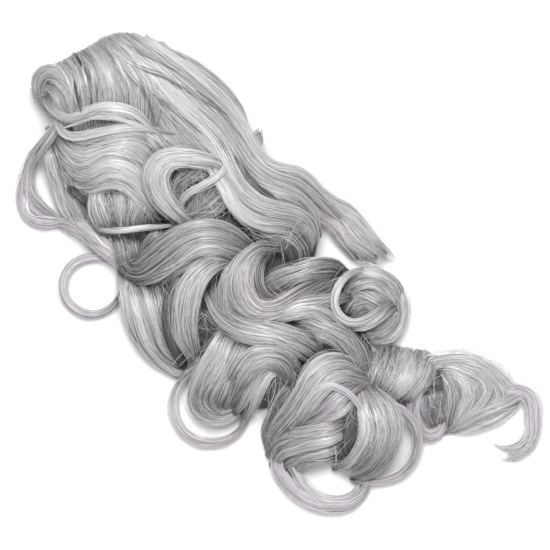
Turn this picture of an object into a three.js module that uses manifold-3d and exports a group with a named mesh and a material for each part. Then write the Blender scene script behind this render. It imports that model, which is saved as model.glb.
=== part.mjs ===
// A claw clip ponytail: long curled hair drawn over a claw clip, lying on a flat surface.
// Millimetres, +Z up. +X runs from the clip to the tip of the hair, and z = 0 is the surface.
import * as THREE from "three";
import { mergeVertices } from "three/addons/utils/BufferGeometryUtils.js";
import Module from "manifold-3d";

// Shift that puts the middle of the outline at x = 0, y = 0.
const SHIFT_X = 0.5;
const SHIFT_Y = -2;

// Claw clip: a closed oval claw that stands on its teeth, with its spine across the ponytail.
const CLIP_X = -212;
const CLIP_Y = 44;
const CLIP_TURN = -20;
const CLIP_LENGTH = 80;
const CLAW_HALF_WIDTH = 17;
const CLAW_HEIGHT = 38;
const CLAW_FOOT = 0.6;
const CLAW_WALL = 2.6;
const CLAW_SEGMENTS = 10;
const TEETH = 10;
const TOOTH_HEIGHT = 15;
const TOOTH_LAP = 3;
const TOOTH_SLIT = 1.2;
const CUT_OVERRUN = 1;
const BARREL_RADIUS = 3.6;
const BARREL_LENGTH = 52;
const BARREL_SIDES = 12;
const LEVER_LENGTH = 30;
const LEVER_TOP = 48;
const LEVER_SPREAD = 11;
const LEVER_WALL = 2.6;
const LEVER_ROOT = 3;

// Room that the hair leaves round the clip.
const CLIP_GAP = 0.4;
const POCKET_SHOULDER = 27;
const POCKET_CLOSED_END = 43;
const POCKET_OPEN_END = -75;

// Hair: tubes of oval section, with a step about every STEP along the lock.
const LOCK_SIDES = 6;
const STEP = 14.5;
const MIN_STEPS = 4;
const ROOT_SHARE = 0.78;
const SWELL = 0.3;
const SINK = 2;
const DOME_POINTS = 8;
const DOME_FULLNESS = 0.7;
const FLOOR_SIZE = 1200;
const FLOOR_DEPTH = 60;

const UP = new THREE.Vector3(0, 0, 1);
const MERGE_DISTANCE = 1e-4;

// Crown over the clip: a row for each section along the spine, from the open end.
// along: distance from the clip's middle; half: half width; height: top of the hair.
const CROWN = [
  { along: -50, half: 15, height: 36 },
  { along: -42, half: 24, height: 50 },
  { along: -20, half: 26, height: 56 },
  { along: 12, half: 26, height: 57 },
  { along: 36, half: 25, height: 55 },
  { along: 48, half: 20, height: 46 },
  { along: 56, half: 10, height: 26 },
];

// Inner hair under the locks: a row for each section along X.
const INNER = [
  { x: -205, low: 0, high: 70, height: 34 },
  { x: -180, low: -18, high: 90, height: 34 },
  { x: -150, low: -38, high: 95, height: 32 },
  { x: -115, low: -46, high: 92, height: 28 },
  { x: -80, low: -52, high: 78, height: 27 },
  { x: -50, low: -66, high: 76, height: 27 },
  { x: -22, low: -70, high: 76, height: 27 },
  { x: 0, low: -64, high: 58, height: 28 },
  { x: 28, low: -86, high: 52, height: 29 },
  { x: 55, low: -84, high: 54, height: 28 },
  { x: 80, low: -54, high: 52, height: 28 },
  { x: 105, low: -58, high: 46, height: 27 },
  { x: 128, low: -44, high: 36, height: 25 },
  { x: 150, low: -30, high: 14, height: 22 },
  { x: 170, low: -18, high: 4, height: 14 },
];

// Locks: a row for each, with its full width and thickness, the share of them left at its tip,
// and points on its middle line from root to tip.
const LOCKS = [
  // Smooth sheets that rise behind the clip, cross its spine and run down the length
  { name: "crown_edge", width: 23, thick: 13, tip: 0.5,
    path: [[-220, 82, 5], [-214, 84, 40], [-190, 91, 46], [-150, 97, 38], [-118, 101, 24], [-98, 99, 12]] },
  { name: "crown_top", width: 28, thick: 13, tip: 0.7,
    path: [[-230, 63, 5], [-224, 66, 46], [-195, 80, 52], [-160, 89, 46], [-130, 92, 34], [-102, 90, 22]] },
  { name: "crown_high", width: 28, thick: 13, tip: 0.7,
    path: [[-236, 48.5, 5], [-230, 51, 49], [-195, 65, 55], [-160, 73, 50], [-120, 80, 40], [-90, 84, 30]] },
  { name: "crown_middle", width: 26, thick: 12, tip: 0.7,
    path: [[-240, 34.5, 5], [-234, 37, 49], [-205, 48, 56], [-180, 57, 53], [-155, 62, 48], [-125, 68, 40]] },
  { name: "crown_low", width: 24, thick: 12, tip: 0.7,
    path: [[-242, 22, 5], [-237, 24, 47], [-212, 33, 55], [-190, 41, 53], [-168, 48, 48], [-142, 50, 40]] },
  { name: "crown_roll", width: 20, thick: 11, tip: 0.7,
    path: [[-242, 9, 5], [-238, 11, 40], [-222, 19, 52], [-204, 22, 50], [-188, 30, 46]] },
  // Strands wrapped slantwise over the lower side of the crown
  { name: "wrap_front", width: 11, thick: 8, tip: 0.6,
    path: [[-208, -8, 30], [-201, 12, 48], [-190, 24, 55], [-178, 36, 58], [-166, 45, 56], [-150, 48, 50]] },
  { name: "wrap_second", width: 13, thick: 9, tip: 0.6,
    path: [[-199, -6, 32], [-183, 18, 46], [-170, 32, 52], [-155, 39, 51], [-136, 38, 45]] },
  { name: "wrap_third", width: 16, thick: 10, tip: 0.6,
    path: [[-189, -14, 28], [-173, 7, 40], [-158, 22, 45], [-142, 31, 45], [-124, 36, 42]] },
  { name: "wrap_fourth", width: 17, thick: 10, tip: 0.6,
    path: [[-160, -27, 22], [-160, -10, 34], [-150, 6, 40], [-134, 14, 41], [-114, 8, 40], [-96, -4, 36]] },
  // Loop and bands at the clip's lower side
  { name: "side_loop", width: 11, thick: 8, tip: 0.5,
    path: [[-211, 0, 26], [-206, -18, 16], [-206, -38, 9], [-198, -56, 7], [-183, -70, 6],
      [-168, -76, 6], [-152, -66, 8], [-138, -54, 10]] },
  { name: "side_loop_inner", width: 14, thick: 8, tip: 0.6,
    path: [[-204, -38, 10], [-194, -54, 9], [-178, -64, 8], [-160, -66, 8], [-140, -54, 11]] },
  { name: "side_band", width: 17, thick: 9, tip: 0.7,
    path: [[-204, -12, 20], [-186, -16, 24], [-168, -20, 26], [-150, -26, 24]] },
  { name: "side_fan", width: 22, thick: 9, tip: 0.6,
    path: [[-204, -24, 14], [-188, -31, 15], [-170, -41, 14], [-156, -52, 12], [-140, -56, 10]] },
  // Long outer waves on the far side
  { name: "far_wave", width: 21, thick: 10, tip: 0.45,
    path: [[-125, 79, 38], [-92, 84, 32], [-72, 82, 28], [-50, 91, 24], [-20, 100, 18], [12, 104, 12],
      [42, 103, 8], [64, 105, 6]] },
  { name: "far_inner", width: 19, thick: 10, tip: 0.5,
    path: [[-90, 78, 34], [-62, 76, 32], [-40, 81, 28], [-16, 88, 22], [8, 95, 14], [36, 96, 8]] },
  { name: "middle_wave", width: 19, thick: 11, tip: 0.5,
    path: [[-152, 63, 46], [-120, 69, 44], [-92, 67, 41], [-70, 59, 39], [-48, 57, 37], [-28, 63, 34],
      [-8, 73, 28], [8, 69, 22], [12, 58, 18]] },
  { name: "shaded_wave", width: 18, thick: 10, tip: 0.6,
    path: [[-84, 48, 34], [-64, 46, 34], [-42, 46, 33], [-22, 52, 31], [-6, 60, 27]] },
  // Curls of the middle
  { name: "big_curl", width: 17, thick: 11, tip: 0.7,
    path: [[-90, 63, 42], [-108, 53, 45], [-121, 42, 46], [-125, 30, 45], [-119, 17, 43], [-106, 9, 41],
      [-92, 8, 39], [-76, 9, 37]] },
  { name: "knot_ring", width: 18, thick: 11, tip: 0.7,
    path: [[-116, -2, 36], [-134, -4, 37], [-145, -16, 35], [-143, -30, 31], [-130, -39, 29]] },
  { name: "knot_middle", width: 18, thick: 10, tip: 0.7,
    path: [[-112, -4, 35], [-120, -16, 35], [-132, -23, 33], [-134, -34, 29]] },
  { name: "knot_cross", width: 12, thick: 9, tip: 0.7,
    path: [[-136, -42, 26], [-124, -40, 33], [-111, -29, 38], [-99, -15, 39], [-89, 0, 37]] },
  { name: "under_band", width: 16, thick: 10, tip: 0.7,
    path: [[-160, -36, 14], [-142, -48, 14], [-120, -52, 13], [-98, -52, 13], [-78, -52, 15]] },
  { name: "ringlet", width: 9, thick: 8, tip: 0.8,
    path: [[-77, -56, 11], [-72, -70, 7], [-72, -84, 6], [-81, -97, 6], [-97, -102, 6], [-113, -94, 6],
      [-120, -79, 6], [-115, -64, 6], [-102, -55, 8]] },
  { name: "fall_left", width: 17, thick: 12, tip: 0.6,
    path: [[-42, 39, 40], [-58, 34, 43], [-69, 22, 44], [-74, 2, 43], [-76, -20, 39], [-77, -44, 28]] },
  { name: "fall_right", width: 15, thick: 11, tip: 0.6,
    path: [[-36, 30, 41], [-52, 20, 44], [-60, 4, 44], [-62, -14, 40], [-65, -34, 32], [-67, -48, 24]] },
  { name: "fall_inner", width: 14, thick: 11, tip: 0.5,
    path: [[-36, 18, 42], [-47, 8, 44], [-51, -8, 42], [-51, -24, 36], [-46, -38, 28]] },
  { name: "broad_fall", width: 21, thick: 12, tip: 0.6,
    path: [[-43, 8, 42], [-39, -12, 43], [-33, -28, 41], [-20, -42, 36], [-6, -52, 30], [8, -64, 20]] },
  { name: "fan_shaded", width: 19, thick: 10, tip: 0.6,
    path: [[-66, -44, 24], [-50, -52, 23], [-36, -62, 20], [-20, -70, 16], [0, -72, 12]] },
  { name: "fan_upper", width: 18, thick: 9, tip: 0.6,
    path: [[-77, -46, 22], [-60, -60, 18], [-44, -73, 14], [-26, -81, 11], [-4, -82, 8]] },
  { name: "fan_outer", width: 15, thick: 8, tip: 0.4,
    path: [[-76, -58, 14], [-60, -72, 9], [-42, -82, 7], [-24, -86, 6], [-6, -86, 6]] },
  { name: "inner_loop", width: 15, thick: 11, tip: 0.7,
    path: [[-3, 43, 40], [-17, 42, 43], [-25, 29, 43], [-23, 13, 41], [-11, 4, 40], [6, 2, 38]] },
  { name: "shaded_fall", width: 19, thick: 10, tip: 0.6,
    path: [[-34, 4, 34], [-24, -9, 35], [-10, -17, 34], [6, -22, 32]] },
  { name: "strand_up", width: 14, thick: 10, tip: 0.6,
    path: [[38, 76, 9], [28, 68, 17], [17, 54, 24], [8, 40, 27], [2, 25, 28]] },
  { name: "strand_across", width: 15, thick: 11, tip: 0.6,
    path: [[42, 64, 24], [34, 50, 36], [28, 36, 41], [21, 20, 42], [10, 7, 41], [-8, 4, 38]] },
  { name: "upper_sweep", width: 16, thick: 11, tip: 0.6,
    path: [[66, 44, 34], [50, 32, 40], [38, 18, 42], [24, 7, 42], [8, -3, 38], [-6, -10, 34]] },
  { name: "broad_sweep", width: 23, thick: 12, tip: 0.6,
    path: [[74, 27, 36], [57, 14, 42], [42, 2, 44], [26, -9, 44], [12, -19, 40], [2, -32, 34]] },
  { name: "shaded_sweep", width: 17, thick: 10, tip: 0.6,
    path: [[76, -2, 32], [62, -8, 35], [48, -15, 35], [34, -22, 35], [18, -28, 33]] },
  // Broad loop on the near side
  { name: "loop_outer", width: 12, thick: 9, tip: 0.7,
    path: [[47, -12, 36], [54, -32, 35], [62, -54, 28], [68, -74, 13], [63, -93, 7], [42, -104, 6],
      [21, -98, 6], [10, -82, 8], [8, -62, 14]] },
  { name: "loop_left", width: 20, thick: 11, tip: 0.6,
    path: [[8, -28, 36], [16, -48, 34], [23, -68, 26], [33, -85, 14], [47, -92, 9]] },
  { name: "loop_middle", width: 17, thick: 11, tip: 0.6,
    path: [[27, -26, 38], [34, -46, 36], [38, -66, 29], [42, -84, 18]] },
  { name: "loop_right", width: 14, thick: 10, tip: 0.6,
    path: [[44, -24, 36], [49, -46, 34], [54, -66, 28], [55, -84, 16], [44, -93, 8]] },
  // Bun of curls before the tail
  { name: "bun_left", width: 16, thick: 11, tip: 0.6,
    path: [[104, 24, 32], [88, 21, 38], [79, 8, 41], [79, -8, 41], [85, -27, 38], [91, -45, 31],
      [97, -62, 18]] },
  { name: "bun_ring", width: 12, thick: 10, tip: 0.6,
    path: [[100, 18, 38], [91, 9, 43], [88, -6, 44], [92, -22, 43], [98, -37, 38], [102, -50, 30]] },
  { name: "bun_middle", width: 17, thick: 11, tip: 0.6,
    path: [[107, 12, 40], [104, -4, 43], [103, -20, 42], [103, -38, 36]] },
  { name: "bun_right", width: 14, thick: 10, tip: 0.6,
    path: [[120, 10, 38], [116, -6, 41], [112, -20, 40], [107, -36, 35]] },
  { name: "bun_fall", width: 18, thick: 11, tip: 0.6,
    path: [[122, -12, 36], [117, -30, 36], [110, -46, 31], [105, -60, 22], [101, -71, 10]] },
  { name: "bun_outer_fall", width: 17, thick: 10, tip: 0.6,
    path: [[132, -16, 36], [130, -34, 33], [122, -50, 26], [113, -64, 15], [106, -73, 7]] },
  { name: "fan_left", width: 20, thick: 11, tip: 0.7,
    path: [[114, 18, 36], [130, 7, 40], [145, -7, 40], [155, -22, 35], [151, -36, 26]] },
  { name: "fan_right", width: 24, thick: 11, tip: 0.7,
    path: [[126, 18, 35], [148, 13, 38], [164, 1, 35], [171, -14, 30], [164, -29, 23], [149, -37, 18]] },
  { name: "lilac_ring", width: 10, thick: 8, tip: 0.6,
    path: [[142, 20, 30], [159, 24, 27], [174, 18, 24], [184, 5, 20], [186, -9, 15], [180, -24, 12],
      [166, -34, 12]] },
  { name: "lower_ring", width: 12, thick: 8, tip: 0.6,
    path: [[172, -28, 14], [177, -42, 8], [174, -58, 6], [160, -71, 6], [140, -78, 6], [120, -79, 6],
      [104, -70, 9]] },
  // Round curl beside the tail
  { name: "curl_outer", width: 15, thick: 11, tip: 0.7,
    path: [[104, 46, 22], [104, 66, 20], [99, 82, 17], [87, 91, 14], [71, 93, 12], [56, 88, 12],
      [47, 76, 14]] },
  { name: "curl_inner", width: 11, thick: 10, tip: 0.7,
    path: [[47, 80, 16], [44, 64, 22], [53, 49, 30], [68, 46, 33], [79, 56, 33], [85, 71, 29],
      [90, 84, 22]] },
  { name: "curl_heart", width: 28, thick: 10, tip: 0.8,
    path: [[58, 52, 18], [60, 66, 17], [70, 78, 15], [86, 80, 14]] },
  { name: "curl_side", width: 18, thick: 10, tip: 0.7,
    path: [[92, 46, 20], [95, 60, 17], [93, 74, 14], [84, 86, 11]] },
  // Neck of the tail, whose strands cross it side to side
  { name: "tail_join", width: 16, thick: 11, tip: 0.7,
    path: [[56, 36, 36], [78, 38, 35], [95, 34, 31], [110, 30, 26]] },
  { name: "neck_first", width: 15, thick: 10, tip: 0.8,
    path: [[104, 55, 9], [109, 45, 22], [109, 34, 24], [107, 25, 17]] },
  { name: "neck_second", width: 15, thick: 10, tip: 0.8,
    path: [[116, 58, 8], [120, 46, 20], [120, 33, 21], [118, 23, 13]] },
  { name: "neck_third", width: 15, thick: 10, tip: 0.8,
    path: [[128, 61, 7], [132, 48, 18], [132, 34, 18], [130, 23, 10]] },
  { name: "neck_fourth", width: 15, thick: 10, tip: 0.8,
    path: [[138, 72, 7], [143, 56, 16], [143, 40, 16], [141, 27, 9]] },
  // Loose tail
  { name: "tail_circle", width: 14, thick: 9, tip: 0.7,
    path: [[146, 48, 14], [147, 70, 13], [154, 88, 11], [168, 98, 9], [186, 101, 8], [201, 96, 8],
      [207, 80, 8], [203, 61, 8], [192, 47, 8], [176, 42, 9]] },
  { name: "tail_heart", width: 22, thick: 9, tip: 0.8,
    path: [[150, 46, 14], [160, 64, 12], [172, 82, 10], [188, 94, 9]] },
  { name: "tail_side", width: 27, thick: 8, tip: 0.8,
    path: [[160, 44, 12], [174, 58, 11], [188, 72, 9], [202, 86, 8]] },
  { name: "tail_loop", width: 10, thick: 8, tip: 0.7,
    path: [[145, 50, 13], [149, 37, 10], [161, 28, 6], [175, 26, 5], [182, 33, 5], [178, 43, 7]] },
  { name: "tail_hook", width: 10, thick: 7, tip: 0.5,
    path: [[196, 90, 8], [205, 102, 6], [218, 104, 5], [232, 97, 5], [242, 83, 5], [244, 70, 5],
      [239, 62, 5], [229, 59, 5]] },
];

const HAIR_MATERIAL = new THREE.MeshStandardMaterial({ color: "#b7b4b9", roughness: 0.42, metalness: 0 });
const CLIP_MATERIAL = new THREE.MeshStandardMaterial({ color: "#3a393d", roughness: 0.35, metalness: 0 });

const wasm = await Module();
wasm.setup();

// Closed mesh through a row of rings that all have the same number of points.
function skin(rings) {
  const count = rings[0].length;
  const points = rings.flat();
  const faces = [];
  for (let i = 0; i + 1 < rings.length; i += 1) {
    for (let j = 0; j < count; j += 1) {
      const a = i * count + j;
      const b = i * count + ((j + 1) % count);
      faces.push(a, b, a + count, b, b + count, a + count);
    }
  }
  const last = (rings.length - 1) * count;
  for (let j = 1; j + 1 < count; j += 1) {
    faces.push(0, j + 1, j);
    faces.push(last, last + j, last + j + 1);
  }
  const geometry = new THREE.BufferGeometry().setFromPoints(points);
  geometry.setIndex(faces);
  return geometry;
}

// Solid for joining and cutting, from a closed geometry.
function solid(geometry) {
  const bare = geometry.clone();
  bare.deleteAttribute("normal");
  bare.deleteAttribute("uv");
  const merged = mergeVertices(bare, MERGE_DISTANCE);
  const mesh = new wasm.Mesh({
    numProp: 3,
    vertProperties: Float32Array.from(merged.attributes.position.array),
    triVerts: Uint32Array.from(merged.index.array),
  });
  return new wasm.Manifold(mesh);
}

// Geometry of a joined or cut solid.
function geometryOf(body) {
  const mesh = body.getMesh();
  const geometry = new THREE.BufferGeometry();
  geometry.setAttribute("position", new THREE.BufferAttribute(mesh.vertProperties, 3));
  geometry.setIndex(new THREE.BufferAttribute(mesh.triVerts, 1));
  geometry.computeVertexNormals();
  return geometry;
}

// Outline in the plane across the spine, drawn out along the spine from one place to another.
function alongSpine(shape, from, to, segments = 1) {
  const geometry = new THREE.ExtrudeGeometry(shape, {
    depth: to - from,
    bevelEnabled: false,
    curveSegments: segments,
  });
  geometry.rotateX(Math.PI / 2);
  geometry.translate(0, to, 0);
  return geometry;
}

function outline(points) {
  return new THREE.Shape(points.map(([x, y]) => new THREE.Vector2(x, y)));
}

function box(low, high) {
  const size = high.map((value, i) => value - low[i]);
  const middle = high.map((value, i) => (value + low[i]) / 2);
  return new THREE.BoxGeometry(...size).translate(...middle);
}

// Claw clip
function clawTube() {
  const middle = (CLAW_FOOT + CLAW_HEIGHT) / 2;
  const rise = (CLAW_HEIGHT - CLAW_FOOT) / 2;
  const oval = new THREE.Shape();
  oval.absellipse(0, middle, CLAW_HALF_WIDTH, rise, 0, 2 * Math.PI, false);
  const hollow = new THREE.Path();
  hollow.absellipse(0, middle, CLAW_HALF_WIDTH - CLAW_WALL, rise - CLAW_WALL, 0, 2 * Math.PI, true);
  oval.holes.push(hollow);
  return solid(alongSpine(oval, -CLIP_LENGTH / 2, CLIP_LENGTH / 2, CLAW_SEGMENTS));
}

// The space beside each tooth, on one jaw and the other in turn, and the slit between two teeth.
function toothCuts() {
  const pitch = CLIP_LENGTH / TEETH;
  const outside = CLAW_HALF_WIDTH + CUT_OVERRUN;
  const lap = TOOTH_LAP + CUT_OVERRUN;
  const cuts = [];
  for (let i = 0; i < TEETH; i += 1) {
    const start = -CLIP_LENGTH / 2 + i * pitch;
    const from = i === 0 ? start - CUT_OVERRUN : start;
    const to = i === TEETH - 1 ? start + pitch + CUT_OVERRUN : start + pitch;
    const [left, right] = i % 2 === 0 ? [TOOTH_LAP, outside] : [-outside, -TOOTH_LAP];
    cuts.push(box([left, from, -CUT_OVERRUN], [right, to, TOOTH_HEIGHT]));
    if (i > 0) {
      const half = TOOTH_SLIT / 2;
      cuts.push(box([-lap, start - half, -CUT_OVERRUN], [lap, start + half, TOOTH_HEIGHT / 2]));
    }
  }
  return cuts.map(solid);
}

function lever(side) {
  const foot = CLAW_HEIGHT - LEVER_ROOT;
  const shape = outline([
    [side * LEVER_ROOT, foot],
    [side * LEVER_SPREAD, LEVER_TOP],
    [side * (LEVER_SPREAD - LEVER_WALL), LEVER_TOP],
    [side * (LEVER_ROOT - LEVER_WALL), foot],
  ]);
  return solid(alongSpine(shape, -LEVER_LENGTH / 2, LEVER_LENGTH / 2));
}

function clawClip() {
  const barrel = new THREE.CylinderGeometry(BARREL_RADIUS, BARREL_RADIUS, BARREL_LENGTH, BARREL_SIDES);
  barrel.translate(0, 0, CLAW_HEIGHT);
  let body = clawTube();
  for (const cut of toothCuts()) {
    body = body.subtract(cut);
  }
  body = body.add(solid(barrel)).add(lever(1)).add(lever(-1));
  return geometryOf(body);
}

// Space in the hair that holds the clip, open below and at the near end of the spine.
function clipPocket() {
  const half = CLAW_HALF_WIDTH + CLIP_GAP;
  const top = LEVER_TOP + CLIP_GAP;
  const shoulder = LEVER_SPREAD + CLIP_GAP;
  const shape = outline([
    [-half, -SINK],
    [half, -SINK],
    [half, POCKET_SHOULDER],
    [shoulder, top],
    [-shoulder, top],
    [-half, POCKET_SHOULDER],
  ]);
  return solid(placeOnSpine(alongSpine(shape, POCKET_OPEN_END, POCKET_CLOSED_END)));
}

// Moves a geometry from the clip's own axes to its place under the crown.
function placeOnSpine(geometry) {
  geometry.rotateZ(THREE.MathUtils.degToRad(CLIP_TURN));
  geometry.translate(CLIP_X, CLIP_Y, 0);
  return geometry;
}

// Hair
function domeRing(centre, side, half, height) {
  const ring = [];
  for (let i = 0; i <= DOME_POINTS; i += 1) {
    const turn = (Math.PI * i) / DOME_POINTS;
    const out = Math.sign(Math.cos(turn)) * Math.abs(Math.cos(turn)) ** DOME_FULLNESS * half;
    const rise = Math.sin(turn) ** DOME_FULLNESS * (height + SINK) - SINK;
    ring.push(centre.clone().addScaledVector(side, out).setZ(rise));
  }
  return ring;
}

function crownDome() {
  const side = new THREE.Vector3(-1, 0, 0);
  const rings = CROWN.map((row) => domeRing(new THREE.Vector3(0, row.along, 0), side, row.half, row.height));
  return solid(placeOnSpine(skin(rings)));
}

function innerHair() {
  const side = new THREE.Vector3(0, 1, 0);
  const rings = INNER.map((row) => {
    const centre = new THREE.Vector3(row.x, (row.low + row.high) / 2, 0);
    return domeRing(centre, side, (row.high - row.low) / 2, row.height);
  });
  return solid(skin(rings));
}

// Share of a lock's full width at a place along it: it swells from the root and thins to the tip.
function fullness(place, tip) {
  const root = Math.min(1, ROOT_SHARE + (place / SWELL) * (1 - ROOT_SHARE));
  const end = Math.min(1, tip + ((1 - place) / SWELL) * (1 - tip));
  return Math.min(root, end);
}

function lockTube({ path, width, thick, tip }) {
  const curve = new THREE.CatmullRomCurve3(path.map((point) => new THREE.Vector3(...point)));
  const steps = Math.max(MIN_STEPS, Math.round(curve.getLength() / STEP));
  const rings = [];
  for (let i = 0; i <= steps; i += 1) {
    const centre = curve.getPointAt(i / steps);
    const along = curve.getTangentAt(i / steps);
    const side = new THREE.Vector3().crossVectors(UP, along).normalize();
    const rise = new THREE.Vector3().crossVectors(along, side);
    const share = fullness(i / steps, tip) / 2;
    const ring = [];
    for (let j = 0; j < LOCK_SIDES; j += 1) {
      const turn = (2 * Math.PI * j) / LOCK_SIDES;
      const point = centre.clone();
      point.addScaledVector(side, Math.cos(turn) * width * share);
      point.addScaledVector(rise, Math.sin(turn) * thick * share);
      ring.push(point);
    }
    rings.push(ring);
  }
  return solid(skin(rings));
}

function hair() {
  const half = FLOOR_SIZE / 2;
  const belowFloor = solid(box([-half, -half, -FLOOR_DEPTH], [half, half, 0]));
  let body = crownDome().add(innerHair());
  for (const lock of LOCKS) {
    body = body.add(lockTube(lock));
  }
  body = body.subtract(clipPocket()).subtract(belowFloor);
  return geometryOf(body);
}

function named(name, geometry, material) {
  const mesh = new THREE.Mesh(geometry, material);
  mesh.name = name;
  return mesh;
}

const ponytail = new THREE.Group();
ponytail.position.set(SHIFT_X, SHIFT_Y, 0);

const clip = named("claw_clip", clawClip(), CLIP_MATERIAL);
clip.position.set(CLIP_X, CLIP_Y, 0);
clip.rotation.z = THREE.MathUtils.degToRad(CLIP_TURN);
ponytail.add(clip);

ponytail.add(named("hair", hair(), HAIR_MATERIAL));

export default ponytail;
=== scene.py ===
"""Looks of a curled claw clip ponytail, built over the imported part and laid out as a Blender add-on."""

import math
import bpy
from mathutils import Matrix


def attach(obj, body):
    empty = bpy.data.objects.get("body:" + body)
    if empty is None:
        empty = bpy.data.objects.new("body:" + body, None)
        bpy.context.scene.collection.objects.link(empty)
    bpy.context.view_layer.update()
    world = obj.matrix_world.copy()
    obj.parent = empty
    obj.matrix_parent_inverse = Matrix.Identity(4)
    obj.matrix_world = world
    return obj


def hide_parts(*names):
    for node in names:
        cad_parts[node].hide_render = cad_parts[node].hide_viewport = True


bl_info = {
    "name": "Claw clip ponytail",
    "version": (1, 0, 0),
    "blender": (4, 5, 0),
    "location": "3D View > Sidebar > Ponytail",
    "description": "Dresses the curled ponytail: locks, strands, flyaways, clip finish and studio",
    "category": "Object",
}

from collections import namedtuple

import bpy
import numpy as np
from mathutils import Vector

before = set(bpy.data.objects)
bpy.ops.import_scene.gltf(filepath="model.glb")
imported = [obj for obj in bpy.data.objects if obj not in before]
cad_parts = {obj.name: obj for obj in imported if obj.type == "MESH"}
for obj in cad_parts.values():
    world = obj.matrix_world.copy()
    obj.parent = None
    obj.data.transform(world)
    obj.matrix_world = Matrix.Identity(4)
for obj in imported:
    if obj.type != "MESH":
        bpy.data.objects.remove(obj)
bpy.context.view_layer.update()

# Units and places
MM = 0.001
SHIFT = np.array((0.5, -2.0, 0.0))
PIXEL_MM = 0.8
PICTURE_MIDDLE = (246.0, 301.0)
SLANT = math.sqrt(0.5)
UP = np.array((0.0, 0.0, 1.0))
CLEAR_MM = 0.15

# Locks: steps along and points round
STEP_MM = 3.6
GUIDE_STEP_MM = 5.5
FINE_POINTS = 24
FEWEST_STEPS = 6
FEWEST_CUT_STEPS = 4
POINT_MM = 1.25
FEWEST_POINTS = 14
MOST_POINTS = 48
UV_MM = 10.0
UV_STARTS = 50

# Locks: shares that shape their sections, and their slow sway and roll
ROOT_SHARE = 0.55
TIP_SHARE = 0.75
SWELL = 0.34
ARCH = 0.3
DIVE = 0.35
SPREAD = 1.15
FLATTEN = 0.75
FLOOR_SHARE = 0.7
CORE_SHARE = 0.92
CAP_SHARE = 0.3
SWAY_BEATS = (0.8, 1.7, 2.9)
SWAY_HEIGHTS = (0.2, 0.6)
SWAY_SHARE = 0.06
ROLL = 0.25
PHASES = 6.28

# Locks: their tone, with a painted highlight at the crest and painted shade where they dive or tilt
CREST_TONE = 0.14
END_TONE = 0.3
TILT_TONE = 0.6
END_RUN = 0.3
CALM_GROUPS = {"crown": 0.3, "tail": 0.5, "bun": 0.7}
GROUP_TONE = {"crown": -0.02, "wrap": 0.05, "side": 0.03, "middle": -0.22, "sweep": -0.2, "tail": 0.03}
SLOW_TONE = 0.07
LOCK_TONE = 0.04
TINT_SPREAD = 0.15

# Ends: most locks run on and dive under their neighbours; free ends thin to a point
TUCK_RUN = 0.35
TUCK_RANGE_MM = (3.0, 14.0)
TUCK_DEPTH = 1.15
TUCK_LOWEST_MM = 3.0
POINT_RUN_MM = 9.0
POINT_SHARE = 0.6
POINT_CURVE = 0.7
BARE_TIP_MM = 10.0
BARE_TIP_SHARE = 0.12
FREE_GROUPS = {"crown"}
FREE_ROOTS = {"neck_1", "neck_2", "neck_3", "neck_4", "neck_5", "under_band", "under_band_upper"}
FREE_TIPS = {
    "bun_fan_2", "bun_fan_3", "tail_brush_1", "tail_brush_2", "tail_hook", "long_sheet_4", "long_sheet_5",
    "far_tip_outer", "far_tip_middle", "far_tip_inner", "far_tuft",
}

# Partings: valleys between the wisps of a lock, as deep as a share of its section
WISP_MM = 5.0
FEWEST_WISPS = 2
FINE_WISP_MM = 0.9
FEWEST_FINE_WISPS = 4
PART_DEPTH = 0.1
FINE_PART_DEPTH = 0.03
PART_SHARPNESS = 0.4
PART_DRIFT = 2.6
# Painted shade darkens the tone in the parting valleys
PART_SHADE = 0.06
FINE_SHADE = 0.5
FADE_BEAT = 9.0

# Loose wisps that cross over each lock
WISPS_A_LOCK = 2
WISP_HALF_MM = (0.9, 2.2)
WISP_FLATNESS = 0.55
WISP_END_SHARE = 0.35
WISP_END_RUN = 0.05
WISP_TURN = 0.8
WISP_WANDER = 1.1
WISP_SWAY = 0.3
WISP_REACH = 0.95
WISP_STAND = 0.12
WISP_PARTINGS = (2, 3)
WISP_TONES = (-0.1, 0.08)

# Strands: the turns they lie at round a lock, their sizes, how they thin to the tip, and how they bow
STRAND_TURNS = (-0.7, 3.84)
STRAND_SIZES = (0.65, 1.2)
STRAY_POWER = 5.0
TIP_POWER = 3.0
TIP_THINNING = 0.7
LIFT = 0.9
FRIZZ_START = 9
NOISE_STEP = 100.0

# Kinds of strands, a row for each with a column for each input of the strand nodes. Nearest and Farthest are
# shares of the lock's section, Late start and Early end are shares of its length, and Seed is added to the
# hair's own seed.
STRAND_COLUMNS = (
    "Nearest", "Farthest", "Stray", "Parting", "Frizz scale", "Drift", "Late start", "Early end",
    "Tone spread", "Wisp tone", "Bow points", "Seed",
)
STRAND_KINDS = {
    "solid": (0.93, 1.14, 6.0, 1.0, 28.0, 0.7, 0.04, 0.92, 0.38, 0.15, 3, 0),
    "wispy": (0.1, 1.1, 6.0, 1.0, 28.0, 2.0, 0.04, 0.92, 0.38, 0.15, 3, 0),
    "loose": (0.2, 1.0, 6.0, 0.0, 28.0, 1.0, 0.25, 0.75, 0.14, 0.1, 2, 30),
    "gap": (0.0, 1.0, 1.2, 0.0, 9.0, 3.0, 0.12, 0.88, 0.2, 0.0, 2, 90),
    "flyaway": (1.02, 1.5, 2.0, 0.0, 18.0, 2.0, 0.4, 0.5, 0.25, 0.2, 2, 50),
}
STRAND_COUNTS = ("Bow points", "Seed")
WISPY_FRIZZ = 4
FLYAWAY_FRIZZ = 8
GAP_THINNESS = 0.8

# Steps that keep the random draws of the locks, the wisps and the gaps apart
LOCK_SEEDS = 1000
WISP_SEEDS = 77
GAP_SEEDS = 13
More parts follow.
